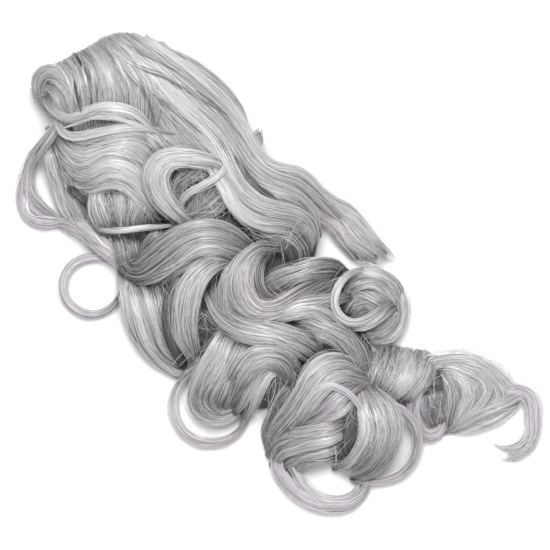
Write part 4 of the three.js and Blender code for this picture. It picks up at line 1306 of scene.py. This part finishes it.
def strand_tree():
    """Geometry nodes that lay fine strands over guide lines, which carry the clump's section."""
    inputs = [("Geometry", "NodeSocketGeometry", None)]
    for label in ("Radius", "Frizz") + STRAND_COLUMNS:
        socket = "NodeSocketInt" if label in STRAND_COUNTS else "NodeSocketFloat"
        inputs.append((label, socket, None))
    inputs.append(("Material", "NodeSocketMaterial", None))
    outputs = [("Geometry", "NodeSocketGeometry")]
    wiring, given, out = new_group("Hair strands", "GeometryNodeTree", inputs, outputs)
    node = wiring.node

    def named(name, kind="FLOAT"):
        return node("GeometryNodeInputNamedAttribute", {0: name}, data_type=kind).outputs[0]

    def chance(low, high, order, kind="FLOAT"):
        pins = {"FLOAT": (2, 3, 1), "FLOAT_VECTOR": (0, 1, 0)}[kind]
        seed = wiring.maths("ADD", given.outputs["Seed"], float(order))
        made = node("FunctionNodeRandomValue", {pins[0]: low, pins[1]: high, "Seed": seed}, data_type=kind)
        return made.outputs[pins[2]]

    def keep(geometry, name, value, kind="FLOAT"):
        made = node("GeometryNodeStoreNamedAttribute", {"Geometry": geometry, "Name": name, "Value": value},
                    data_type=kind, domain="CURVE")
        return made.outputs[0]

    lines = node("GeometryNodeMeshToCurve", {0: given.outputs["Geometry"]}).outputs[0]
    copies = node("GeometryNodeDuplicateElements", {"Geometry": lines, "Amount": named("strands")},
                  domain="SPLINE").outputs[0]
    copies = node("GeometryNodeTrimCurve", {
        "Curve": copies, "Start": chance(0.0, given.outputs["Late start"], 11),
        "End": chance(given.outputs["Early end"], 1.0, 12)}, mode="FACTOR").outputs[0]
    copies = keep(copies, "turn", chance(*STRAND_TURNS, 13))
    copies = keep(copies, "reach", chance(given.outputs["Nearest"], given.outputs["Farthest"], 14))
    copies = keep(copies, "drift", chance(-1.0, 1.0, 15))
    phase = chance((-FRIZZ_START,) * 3, (FRIZZ_START,) * 3, 16, "FLOAT_VECTOR")
    copies = keep(copies, "phase", phase, "FLOAT_VECTOR")
    copies = keep(copies, "size", chance(*STRAND_SIZES, 17))
    stray = wiring.maths("POWER", chance(0.0, 1.0, 19), STRAY_POWER)
    loose = wiring.maths("MULTIPLY", stray, given.outputs["Stray"])
    copies = keep(copies, "loose", wiring.maths("ADD", loose, 1.0))
    spread = given.outputs["Tone spread"]
    copies = keep(copies, "strand_tone", chance(wiring.maths("MULTIPLY", spread, -1.0), spread, 18))

    place = node("GeometryNodeSplineParameter").outputs["Factor"]
    wander = wiring.maths("MULTIPLY", named("drift"), given.outputs["Drift"])
    turn = wiring.maths("ADD", named("turn"), wiring.maths(
        "MULTIPLY", wander, wiring.maths("SUBTRACT", place, 0.5)))

    def valley(scale):
        phase = named(scale + "_phase")
        wave = wiring.maths("ADD", wiring.maths("MULTIPLY", named(scale + "_count"), turn), phase)
        wave = wiring.maths("ADD", wave, wiring.maths("MULTIPLY", named(scale + "_drift"), place))
        height = wiring.maths("POWER", wiring.maths("ABSOLUTE", wiring.maths("SINE", wave)), PART_SHARPNESS)
        beat = wiring.maths("ADD", wiring.maths("MULTIPLY", place, FADE_BEAT),
                            wiring.maths("MULTIPLY", turn, 2.0))
        fade = wiring.maths("SINE", wiring.maths("ADD", beat, phase))
        fade = wiring.maths("MULTIPLY", wiring.maths("ADD", fade, 1.0), 0.5)
        depth = wiring.maths("MULTIPLY", wiring.maths("SUBTRACT", 1.0, height), fade)
        return wiring.maths("MULTIPLY", depth, given.outputs["Parting"]), wave

    coarse, _ = valley("coarse")
    fine, wave = valley("fine")
    wisp = wiring.maths("FLOOR", wiring.maths("DIVIDE", wave, math.pi))
    wisp = wiring.maths("ADD", wisp, wiring.maths("MULTIPLY", named("fine_phase"), NOISE_STEP))
    wisp_tone = node("ShaderNodeTexWhiteNoise", {"W": wisp}, noise_dimensions="1D").outputs["Value"]
    wisp_tone = wiring.maths("SUBTRACT", wisp_tone, 0.5)
    wisp_tone = wiring.maths("MULTIPLY", wisp_tone, given.outputs["Wisp tone"])
    cut = wiring.maths("ADD", wiring.maths("MULTIPLY", coarse, PART_DEPTH),
                       wiring.maths("MULTIPLY", fine, FINE_PART_DEPTH))
    reach = wiring.maths("MULTIPLY", named("reach"), wiring.maths("SUBTRACT", 1.0, cut))
    # Painted shade in the parting valleys
    shade = wiring.maths("ADD", coarse, wiring.maths("MULTIPLY", fine, FINE_SHADE))
    shade = wiring.maths("MULTIPLY", shade, PART_SHADE)
    copies = node("GeometryNodeStoreNamedAttribute", {
        "Geometry": copies, "Name": "tone", "Value": wiring.maths(
            "ADD", wisp_tone, wiring.maths("SUBTRACT", named("tone"), shade))},
        data_type="FLOAT", domain="POINT").outputs[0]
    across = wiring.maths("MULTIPLY", wiring.maths("COSINE", turn), wiring.maths(
        "MULTIPLY", named("half_width"), reach))
    above = wiring.maths("MULTIPLY", wiring.maths("SINE", turn), wiring.maths(
        "MULTIPLY", named("half_thick"), reach))
    section = wiring.vector("ADD", wiring.scaled(named("side", "FLOAT_VECTOR"), across),
                            wiring.scaled(named("rise", "FLOAT_VECTOR"), above))
    spot = wiring.vector("ADD", wiring.scaled(node("GeometryNodeInputPosition").outputs[0],
                                              given.outputs["Frizz scale"]), named("phase", "FLOAT_VECTOR"))
    noise = node("ShaderNodeTexNoise", {"Vector": spot, "Scale": 1.0, "Detail": 1.5}).outputs["Color"]
    curl = wiring.scaled(wiring.vector("SUBTRACT", noise, (0.5, 0.5, 0.5)), wiring.maths(
        "MULTIPLY", given.outputs["Frizz"], named("loose")))
    offset = wiring.vector("ADD", section, curl)
    moved = node("GeometryNodeSetPosition", {"Geometry": copies, "Offset": offset})
    flat = node("ShaderNodeSeparateXYZ", {0: node("GeometryNodeInputPosition").outputs[0]}).outputs
    height = wiring.maths("MAXIMUM", flat[2], given.outputs["Radius"])
    above_floor = node("ShaderNodeCombineXYZ", {0: flat[0], 1: flat[1], 2: height}).outputs[0]
    resting = node("GeometryNodeSetPosition", {"Geometry": moved.outputs[0], "Position": above_floor})

    thin = wiring.maths("MULTIPLY", wiring.maths("POWER", place, TIP_POWER), TIP_THINNING)
    thin = wiring.maths("SUBTRACT", 1.0, thin)
    radius = wiring.maths("MULTIPLY", wiring.maths("MULTIPLY", given.outputs["Radius"], named("size")), thin)
    outward = wiring.vector(
        "ADD",
        wiring.scaled(named("side", "FLOAT_VECTOR"),
                      wiring.maths("DIVIDE", wiring.maths("COSINE", turn), named("half_width"))),
        wiring.scaled(named("rise", "FLOAT_VECTOR"),
                      wiring.maths("DIVIDE", wiring.maths("SINE", turn), named("half_thick"))))
    outward = wiring.vector("ADD", wiring.vector("NORMALIZE", outward, (0, 0, 0)), (0, 0, LIFT))
    sideways = wiring.vector("CROSS_PRODUCT", node("GeometryNodeInputTangent").outputs[0], outward)
    sideways = wiring.vector("NORMALIZE", sideways, (0, 0, 0))
    level = node("GeometryNodeSetCurveNormal", {"Curve": resting.outputs[0], "Normal": sideways}, mode="FREE")
    bow = node("GeometryNodeCurveArc", {"Resolution": given.outputs["Bow points"], "Radius": 1.0,
                                        "Start Angle": math.pi, "Sweep Angle": math.pi}).outputs[0]
    ribbons = node("GeometryNodeCurveToMesh", {"Curve": level.outputs[0], "Profile Curve": bow,
                                               "Scale": radius})
    smooth = node("GeometryNodeSetShadeSmooth", {0: ribbons.outputs[0], "Shade Smooth": True})
    real = node("GeometryNodeRealizeInstances", {0: smooth.outputs[0]}).outputs[0]
    dressed = node("GeometryNodeSetMaterial", {"Geometry": real, "Material": given.outputs["Material"]})
    wiring.tree.links.new(dressed.outputs[0], out.inputs["Geometry"])
    return wiring.tree


def guide_mesh(name, forms, density):
    """Guide lines of locks as a mesh of edges, with the lock's form kept at each point."""
    mesh = bpy.data.meshes.new(name)
    edges = []
    start = 0
    for form in forms:
        count = len(form.places)
        edges.extend((start + i, start + i + 1) for i in range(count - 1))
        start += count
    mesh.from_pydata((np.vstack([form.places for form in forms]) * MM).tolist(), edges, [])

    def along(values):
        return np.concatenate([np.broadcast_to(value, len(form.places))
                               for form, value in zip(forms, values)])

    floats = {
        "half_width": along([form.half_width * MM for form in forms]),
        "half_thick": along([form.half_thick * MM for form in forms]),
        "tone": along([form.tone for form in forms]),
        "tint": along([form.tint for form in forms]),
        "strands": along([2 * density * form.half_width.max() for form in forms]),
    }
    for i, scale in enumerate(("coarse", "fine")):
        floats[scale + "_count"] = along([form.partings[i] for form in forms])
        floats[scale + "_phase"] = along([form.phase[i] for form in forms])
        floats[scale + "_drift"] = along([form.drift[i] for form in forms])
    for key, values in floats.items():
        mesh.attributes.new(key, "FLOAT", "POINT").data.foreach_set("value", values.astype(np.float32))
    for key in ("side", "rise"):
        vectors = np.vstack([getattr(form, key) for form in forms]).astype(np.float32)
        mesh.attributes.new(key, "FLOAT_VECTOR", "POINT").data.foreach_set("vector", vectors.ravel())
    return mesh


def add_strands(name, kind, forms, density, hair, radius, frizz, material):
    """Runs the strand nodes on guide lines and keeps the strands as a plain piece."""
    settings = dict(zip(STRAND_COLUMNS, STRAND_KINDS[kind]))
    settings["Seed"] += hair.seed
    settings.update({"Radius": radius, "Frizz": frizz, "Material": material})
    tree = group_of("Hair strands", strand_tree)
    guide = bpy.data.objects.new(name + "_guide", guide_mesh(name + "_guide", forms, density))
    bpy.context.scene.collection.objects.link(guide)
    modifier = guide.modifiers.new("strands", "NODES")
    modifier.node_group = tree
    pins = {item.name: item.identifier for item in tree.interface.items_tree if item.in_out == "INPUT"}
    for label, value in settings.items():
        modifier[pins[label]] = value
    guide.update_tag()
    bpy.context.view_layer.update()
    evaluated = guide.evaluated_get(bpy.context.evaluated_depsgraph_get())
    mesh = bpy.data.meshes.new_from_object(evaluated)
    mesh.name = name
    bpy.data.objects.remove(guide)
    new_piece(name, mesh)


# Settings


class HairSettings(bpy.types.PropertyGroup):
    """Sizes and colours of the hair."""

    silver: bpy.props.FloatVectorProperty(
        name="Silver", description="Colour of the hair in full light", subtype="COLOR", size=3,
        default=(0.505, 0.495, 0.508), min=0, max=1)
    lilac: bpy.props.FloatVectorProperty(
        name="Lilac", description="Colour of the tinted locks", subtype="COLOR", size=3,
        default=(0.485, 0.457, 0.487), min=0, max=1)
    shadow: bpy.props.FloatVectorProperty(
        name="Shadow", description="Colour deep between strands", subtype="COLOR", size=3,
        default=(0.055, 0.05, 0.056), min=0, max=1)
    density: bpy.props.FloatProperty(
        name="Strands a millimetre", description="Strands for each millimetre of a lock's width",
        default=4.4, min=0.1, max=12)
    strand_radius: bpy.props.FloatProperty(
        name="Strand radius", description="Half the thickness of a strand", unit="LENGTH",
        default=0.0002, min=0.00005, max=0.002)
    wispy_density: bpy.props.FloatProperty(
        name="Wispy strands a millimetre", description="Strands for each millimetre of a see-through lock",
        default=3.0, min=0.1, max=12)
    gap_density: bpy.props.FloatProperty(
        name="Gap strands a millimetre", description="Strands that cross the gaps, for each millimetre",
        default=0.5, min=0, max=6)
    frizz: bpy.props.FloatProperty(
        name="Frizz", description="How far strands stray from their clump", unit="LENGTH",
        default=0.0008, min=0, max=0.01)
    flyaways: bpy.props.FloatProperty(
        name="Flyaways a millimetre", description="Loose strands for each millimetre of a lock's width",
        default=2.4, min=0, max=6)
    flyaway_radius: bpy.props.FloatProperty(
        name="Flyaway radius", description="Half the thickness of a loose strand", unit="LENGTH",
        default=0.00017, min=0.00003, max=0.001)
    seed: bpy.props.IntProperty(name="Seed", description="Start of the random draws", default=7, min=0)


class ClipSettings(bpy.types.PropertyGroup):
    """Finish of the clip."""

    colour: bpy.props.FloatVectorProperty(
        name="Plastic", description="Colour of the clip", subtype="COLOR", size=3,
        default=(0.05, 0.049, 0.053), min=0, max=1)


class StageSettings(bpy.types.PropertyGroup):
    """Floor, light and camera."""

    floor_colour: bpy.props.FloatVectorProperty(
        name="Floor", description="Colour of the floor", subtype="COLOR", size=3,
        default=(0.93, 0.93, 0.93), min=0, max=1)
    sky: bpy.props.FloatProperty(
        name="Room light", description="Even light from all round", default=0.42, min=0, max=5)
    key: bpy.props.FloatProperty(
        name="Key light", description="Power of the soft light overhead", subtype="POWER", unit="POWER",
        default=28.5, min=0, max=500)
    azimuth: bpy.props.FloatProperty(
        name="Azimuth", description="Turn of the camera about the vertical", subtype="ANGLE",
        default=math.radians(45))
    elevation: bpy.props.FloatProperty(
        name="Elevation", description="Height of the camera above the floor, as an angle", subtype="ANGLE",
        default=math.radians(89))
    distance: bpy.props.FloatProperty(
        name="Distance", description="Camera to the middle of the picture", unit="LENGTH",
        default=3.0, min=0.5)
    width: bpy.props.FloatProperty(
        name="Picture width", description="Width that the picture takes in", unit="LENGTH",
        default=0.44, min=0.1)
    aim: bpy.props.FloatVectorProperty(
        name="Aim", description="Middle of the picture", subtype="XYZ", unit="LENGTH", size=3,
        default=(0.0022, 0.0291, 0.03))


# Operators


def lock_rows(group):
    """Rows of a group with their places in the table, which seed their random draws."""
    return [(order, lock) for order, lock in enumerate(LOCKS) if lock.group == group]


class PONYTAIL_OT_clip(bpy.types.Operator):
    """Give the clip its moulded plastic"""

    bl_idname = "ponytail.clip"
    bl_label = "Finish the clip"

    def execute(self, context):
        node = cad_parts["claw_clip"]
        node.data.materials.clear()
        node.data.materials.append(clip_material(context.scene.ponytail_clip))
        return {"FINISHED"}


class PONYTAIL_OT_inner(bpy.types.Operator):
    """Make the shaded hair under the locks"""

    bl_idname = "ponytail.inner"
    bl_label = "Make the inner hair"

    def execute(self, context):
        hair = context.scene.ponytail_hair
        rng = np.random.default_rng(hair.seed)
        parts = MeshParts()
        add_inner_pile(parts, rng)
        add_inner_crown(parts)
        new_piece("inner_hair", parts.build("inner_hair", hair_material(INNER_FINISH, hair)))
        return {"FINISHED"}


class PONYTAIL_OT_locks(bpy.types.Operator):
    """Make the fluted clumps of every lock, a piece for each group"""

    bl_idname = "ponytail.locks"
    bl_label = "Make the locks"

    def execute(self, context):
        hair = context.scene.ponytail_hair
        material = hair_material(LOCK_FINISH, hair)
        for group in GROUPS:
            parts = MeshParts()
            for order, lock in lock_rows(group):
                body = LOOKS[lock.look].body
                if body == 0:
                    continue
                rng = np.random.default_rng(hair.seed * LOCK_SEEDS + order)
                form = form_of(lock, STEP_MM, hair.seed + order)
                if lock.name in FREE_TIPS:
                    form = shortened(form, min(BARE_TIP_MM, BARE_TIP_SHARE * form.length))
                add_core(parts, form, body, rng)
            name = group + "_locks"
            new_piece(name, parts.build(name, material))
        return {"FINISHED"}


class PONYTAIL_OT_strands(bpy.types.Operator):
    """Lay fine strands over the locks, a piece for each group"""

    bl_idname = "ponytail.strands"
    bl_label = "Lay the strands"

    def execute(self, context):
        hair = context.scene.ponytail_hair
        material = hair_material(STRAND_FINISH, hair)
        for group in GROUPS:
            solid = []
            wispy = []
            for order, lock in lock_rows(group):
                form = form_of(lock, GUIDE_STEP_MM, hair.seed + order)
                (solid if LOOKS[lock.look].body else wispy).append(form)
            add_strands(group + "_strands", "solid", solid, hair.density, hair,
                        hair.strand_radius, hair.frizz, material)
            if wispy:
                add_strands(group + "_wisps", "wispy", wispy, hair.wispy_density, hair,
                            hair.strand_radius, hair.frizz * WISPY_FRIZZ, material)
        return {"FINISHED"}


class PONYTAIL_OT_wisps(bpy.types.Operator):
    """Lay thin loose wisps across the locks"""

    bl_idname = "ponytail.wisps"
    bl_label = "Lay the loose wisps"

    def execute(self, context):
        hair = context.scene.ponytail_hair
        material = hair_material(WISP_FINISH, hair)
        forms = []
        for order, lock in enumerate(LOCKS):
            rng = np.random.default_rng(hair.seed * WISP_SEEDS + order)
            forms.extend(wisps_of(form_of(lock, GUIDE_STEP_MM, hair.seed + order), rng))
        add_strands("loose_wisps", "loose", forms, hair.wispy_density, hair,
                    hair.strand_radius, hair.frizz, material)
        return {"FINISHED"}


class PONYTAIL_OT_gaps(bpy.types.Operator):
    """Cross the gaps between the locks with loose, shaded strands"""

    bl_idname = "ponytail.gaps"
    bl_label = "Fill the gaps with strands"

    def execute(self, context):
        hair = context.scene.ponytail_hair
        material = hair_material(GAP_FINISH, hair)
        rng = np.random.default_rng(hair.seed * GAP_SEEDS)
        forms = [self.strand_form(gap, rng) for gap in GAPS for _ in range(gap.strands)]
        add_strands("gap_strands", "gap", forms, hair.gap_density, hair,
                    hair.flyaway_radius * GAP_THINNESS, hair.frizz, material)
        return {"FINISHED"}

    def strand_form(self, gap, rng):
        """A thin form for a few strands that bend across a gap at random."""
        bend = rng.uniform(*GAP_BEND_PX)
        sweep = gap.reach * rng.uniform(*GAP_RUN) / bend
        turn = math.radians(gap.lean) + rng.normal(0, GAP_SPREAD) + rng.choice((-0.5, 0.5)) * math.pi
        heading = turn + np.linspace(-0.5, 0.5, GAP_POINTS) * min(sweep, GAP_MOST_TURN)
        straight = heading[GAP_POINTS // 2]
        middle = (gap.across, gap.down) + rng.normal(0, GAP_SCATTER * gap.reach, 2)
        points = middle + bend * (np.column_stack((np.cos(heading), np.sin(heading)))
                                  - (math.cos(straight), math.sin(straight)))
        height = gap.height + rng.uniform(-GAP_RISE_MM, GAP_RISE_MM)
        height = height + rng.uniform(-GAP_SLOPE_MM, GAP_SLOPE_MM) * np.linspace(-1, 1, GAP_POINTS)
        path = [laid((*point, max(GAP_LOWEST_MM, rise))) for point, rise in zip(points, height)]
        places, side, rise, length = trace(path, GUIDE_STEP_MM)
        thin = np.full(len(places), GAP_HALF_MM)
        phase = rng.uniform(0, PHASES, 2)
        return Form(places + SHIFT, side, rise, thin, thin, length, WISP_PARTINGS, phase, (0.0, 0.0),
                    np.zeros(len(places)), GAP_TINT)


class PONYTAIL_OT_flyaways(bpy.types.Operator):
    """Add the loose strands that stand off the locks"""

    bl_idname = "ponytail.flyaways"
    bl_label = "Add flyaways"

    def execute(self, context):
        hair = context.scene.ponytail_hair
        material = hair_material(FLYAWAY_FINISH, hair)
        forms = [form_of(lock, GUIDE_STEP_MM, hair.seed + order) for order, lock in enumerate(LOCKS)]
        add_strands("flyaway_strands", "flyaway", forms, hair.flyaways, hair,
                    hair.flyaway_radius, hair.frizz * FLYAWAY_FRIZZ, material)
        return {"FINISHED"}


class PONYTAIL_OT_stage(bpy.types.Operator):
    """Set up the floor, the light and the camera"""

    bl_idname = "ponytail.stage"
    bl_label = "Set the stage"

    def execute(self, context):
        stage = context.scene.ponytail_stage
        scene = context.scene
        self.add_floor(scene, stage)
        self.add_lights(scene, stage)
        self.add_camera(scene, stage)
        scene.view_settings.view_transform = "Standard"
        scene.view_settings.look = "None"
        return {"FINISHED"}

    def add_floor(self, scene, stage):
        mesh = bpy.data.meshes.new("floor")
        corners = [(x * FLOOR_HALF, y * FLOOR_HALF, 0) for x, y in ((-1, -1), (1, -1), (1, 1), (-1, 1))]
        mesh.from_pydata(corners, [], [(0, 1, 2, 3)])
        material, wiring, shader = bare_material("floor_paper")
        place = wiring.node("ShaderNodeTexCoord").outputs["Object"]
        grain = wiring.node("ShaderNodeTexNoise", {"Vector": place, "Scale": 400.0}).outputs[0]
        bump = wiring.node("ShaderNodeBump", {"Strength": 0.02, "Distance": 0.0002, "Height": grain})
        wiring.tree.links.new(bump.outputs[0], shader.inputs["Normal"])
        shader.inputs["Base Color"].default_value = (*stage.floor_colour, 1)
        shader.inputs["Roughness"].default_value = 0.9
        shader.inputs["Specular IOR Level"].default_value = 0.1
        mesh.materials.append(material)
        floor = bpy.data.objects.new("floor", mesh)
        scene.collection.objects.link(floor)

    def add_lights(self, scene, stage):
        world = bpy.data.worlds.new("soft_room")
        world.use_nodes = True
        backdrop = world.node_tree.nodes["Background"]
        backdrop.inputs["Color"].default_value = (1, 1, 1, 1)
        backdrop.inputs["Strength"].default_value = stage.sky
        scene.world = world
        for row in LIGHTS:
            light = bpy.data.lights.new(row.name, "AREA")
            light.size = row.size
            light.energy = stage.key * row.share
            lamp = bpy.data.objects.new(row.name, light)
            lamp.location = row.place
            lamp.rotation_euler = (-Vector(row.place)).to_track_quat("-Z", "Y").to_euler()
            scene.collection.objects.link(lamp)

    def add_camera(self, scene, stage):
        data = bpy.data.cameras.new("camera")
        flat = math.cos(stage.elevation)
        away = Vector((math.sin(stage.azimuth) * flat, -math.cos(stage.azimuth) * flat,
                       math.sin(stage.elevation)))
        data.sensor_width = SENSOR_MM
        data.lens = data.sensor_width * stage.distance / stage.width
        data.clip_end = FARTHEST_SEEN
        camera = bpy.data.objects.new("camera", data)
        camera.location = Vector(stage.aim) + away * stage.distance
        camera.rotation_euler = (math.pi / 2 - stage.elevation, 0, stage.azimuth)
        scene.collection.objects.link(camera)
        scene.camera = camera


class PONYTAIL_PT_panel(bpy.types.Panel):
    """Buttons and settings of the ponytail"""

    bl_idname = "PONYTAIL_PT_panel"
    bl_label = "Claw clip ponytail"
    bl_space_type = "VIEW_3D"
    bl_region_type = "UI"
    bl_category = "Ponytail"

    def draw(self, context):
        layout = self.layout
        for operator in OPERATORS:
            layout.operator(operator.bl_idname)
        for name in SETTINGS:
            settings = getattr(context.scene, name)
            box = layout.box()
            for key in settings.__annotations__:
                box.prop(settings, key)


SETTINGS = {"ponytail_hair": HairSettings, "ponytail_clip": ClipSettings, "ponytail_stage": StageSettings}
OPERATORS = (PONYTAIL_OT_stage, PONYTAIL_OT_clip, PONYTAIL_OT_inner, PONYTAIL_OT_locks, PONYTAIL_OT_strands,
             PONYTAIL_OT_wisps, PONYTAIL_OT_gaps, PONYTAIL_OT_flyaways)


def register():
    for settings in SETTINGS.values():
        bpy.utils.register_class(settings)
    for key, settings in SETTINGS.items():
        setattr(bpy.types.Scene, key, bpy.props.PointerProperty(type=settings))
    for operator in OPERATORS:
        bpy.utils.register_class(operator)
    bpy.utils.register_class(PONYTAIL_PT_panel)


def unregister():
    bpy.utils.unregister_class(PONYTAIL_PT_panel)
    for operator in reversed(OPERATORS):
        bpy.utils.unregister_class(operator)
    for key, settings in SETTINGS.items():
        delattr(bpy.types.Scene, key)
        bpy.utils.unregister_class(settings)


def main():
    register()
    bpy.ops.ponytail.stage()
    bpy.ops.ponytail.clip()
    bpy.ops.ponytail.inner()
    bpy.ops.ponytail.locks()
    bpy.ops.ponytail.strands()
    bpy.ops.ponytail.wisps()
    bpy.ops.ponytail.gaps()
    bpy.ops.ponytail.flyaways()


if __name__ == "__main__":
    main()
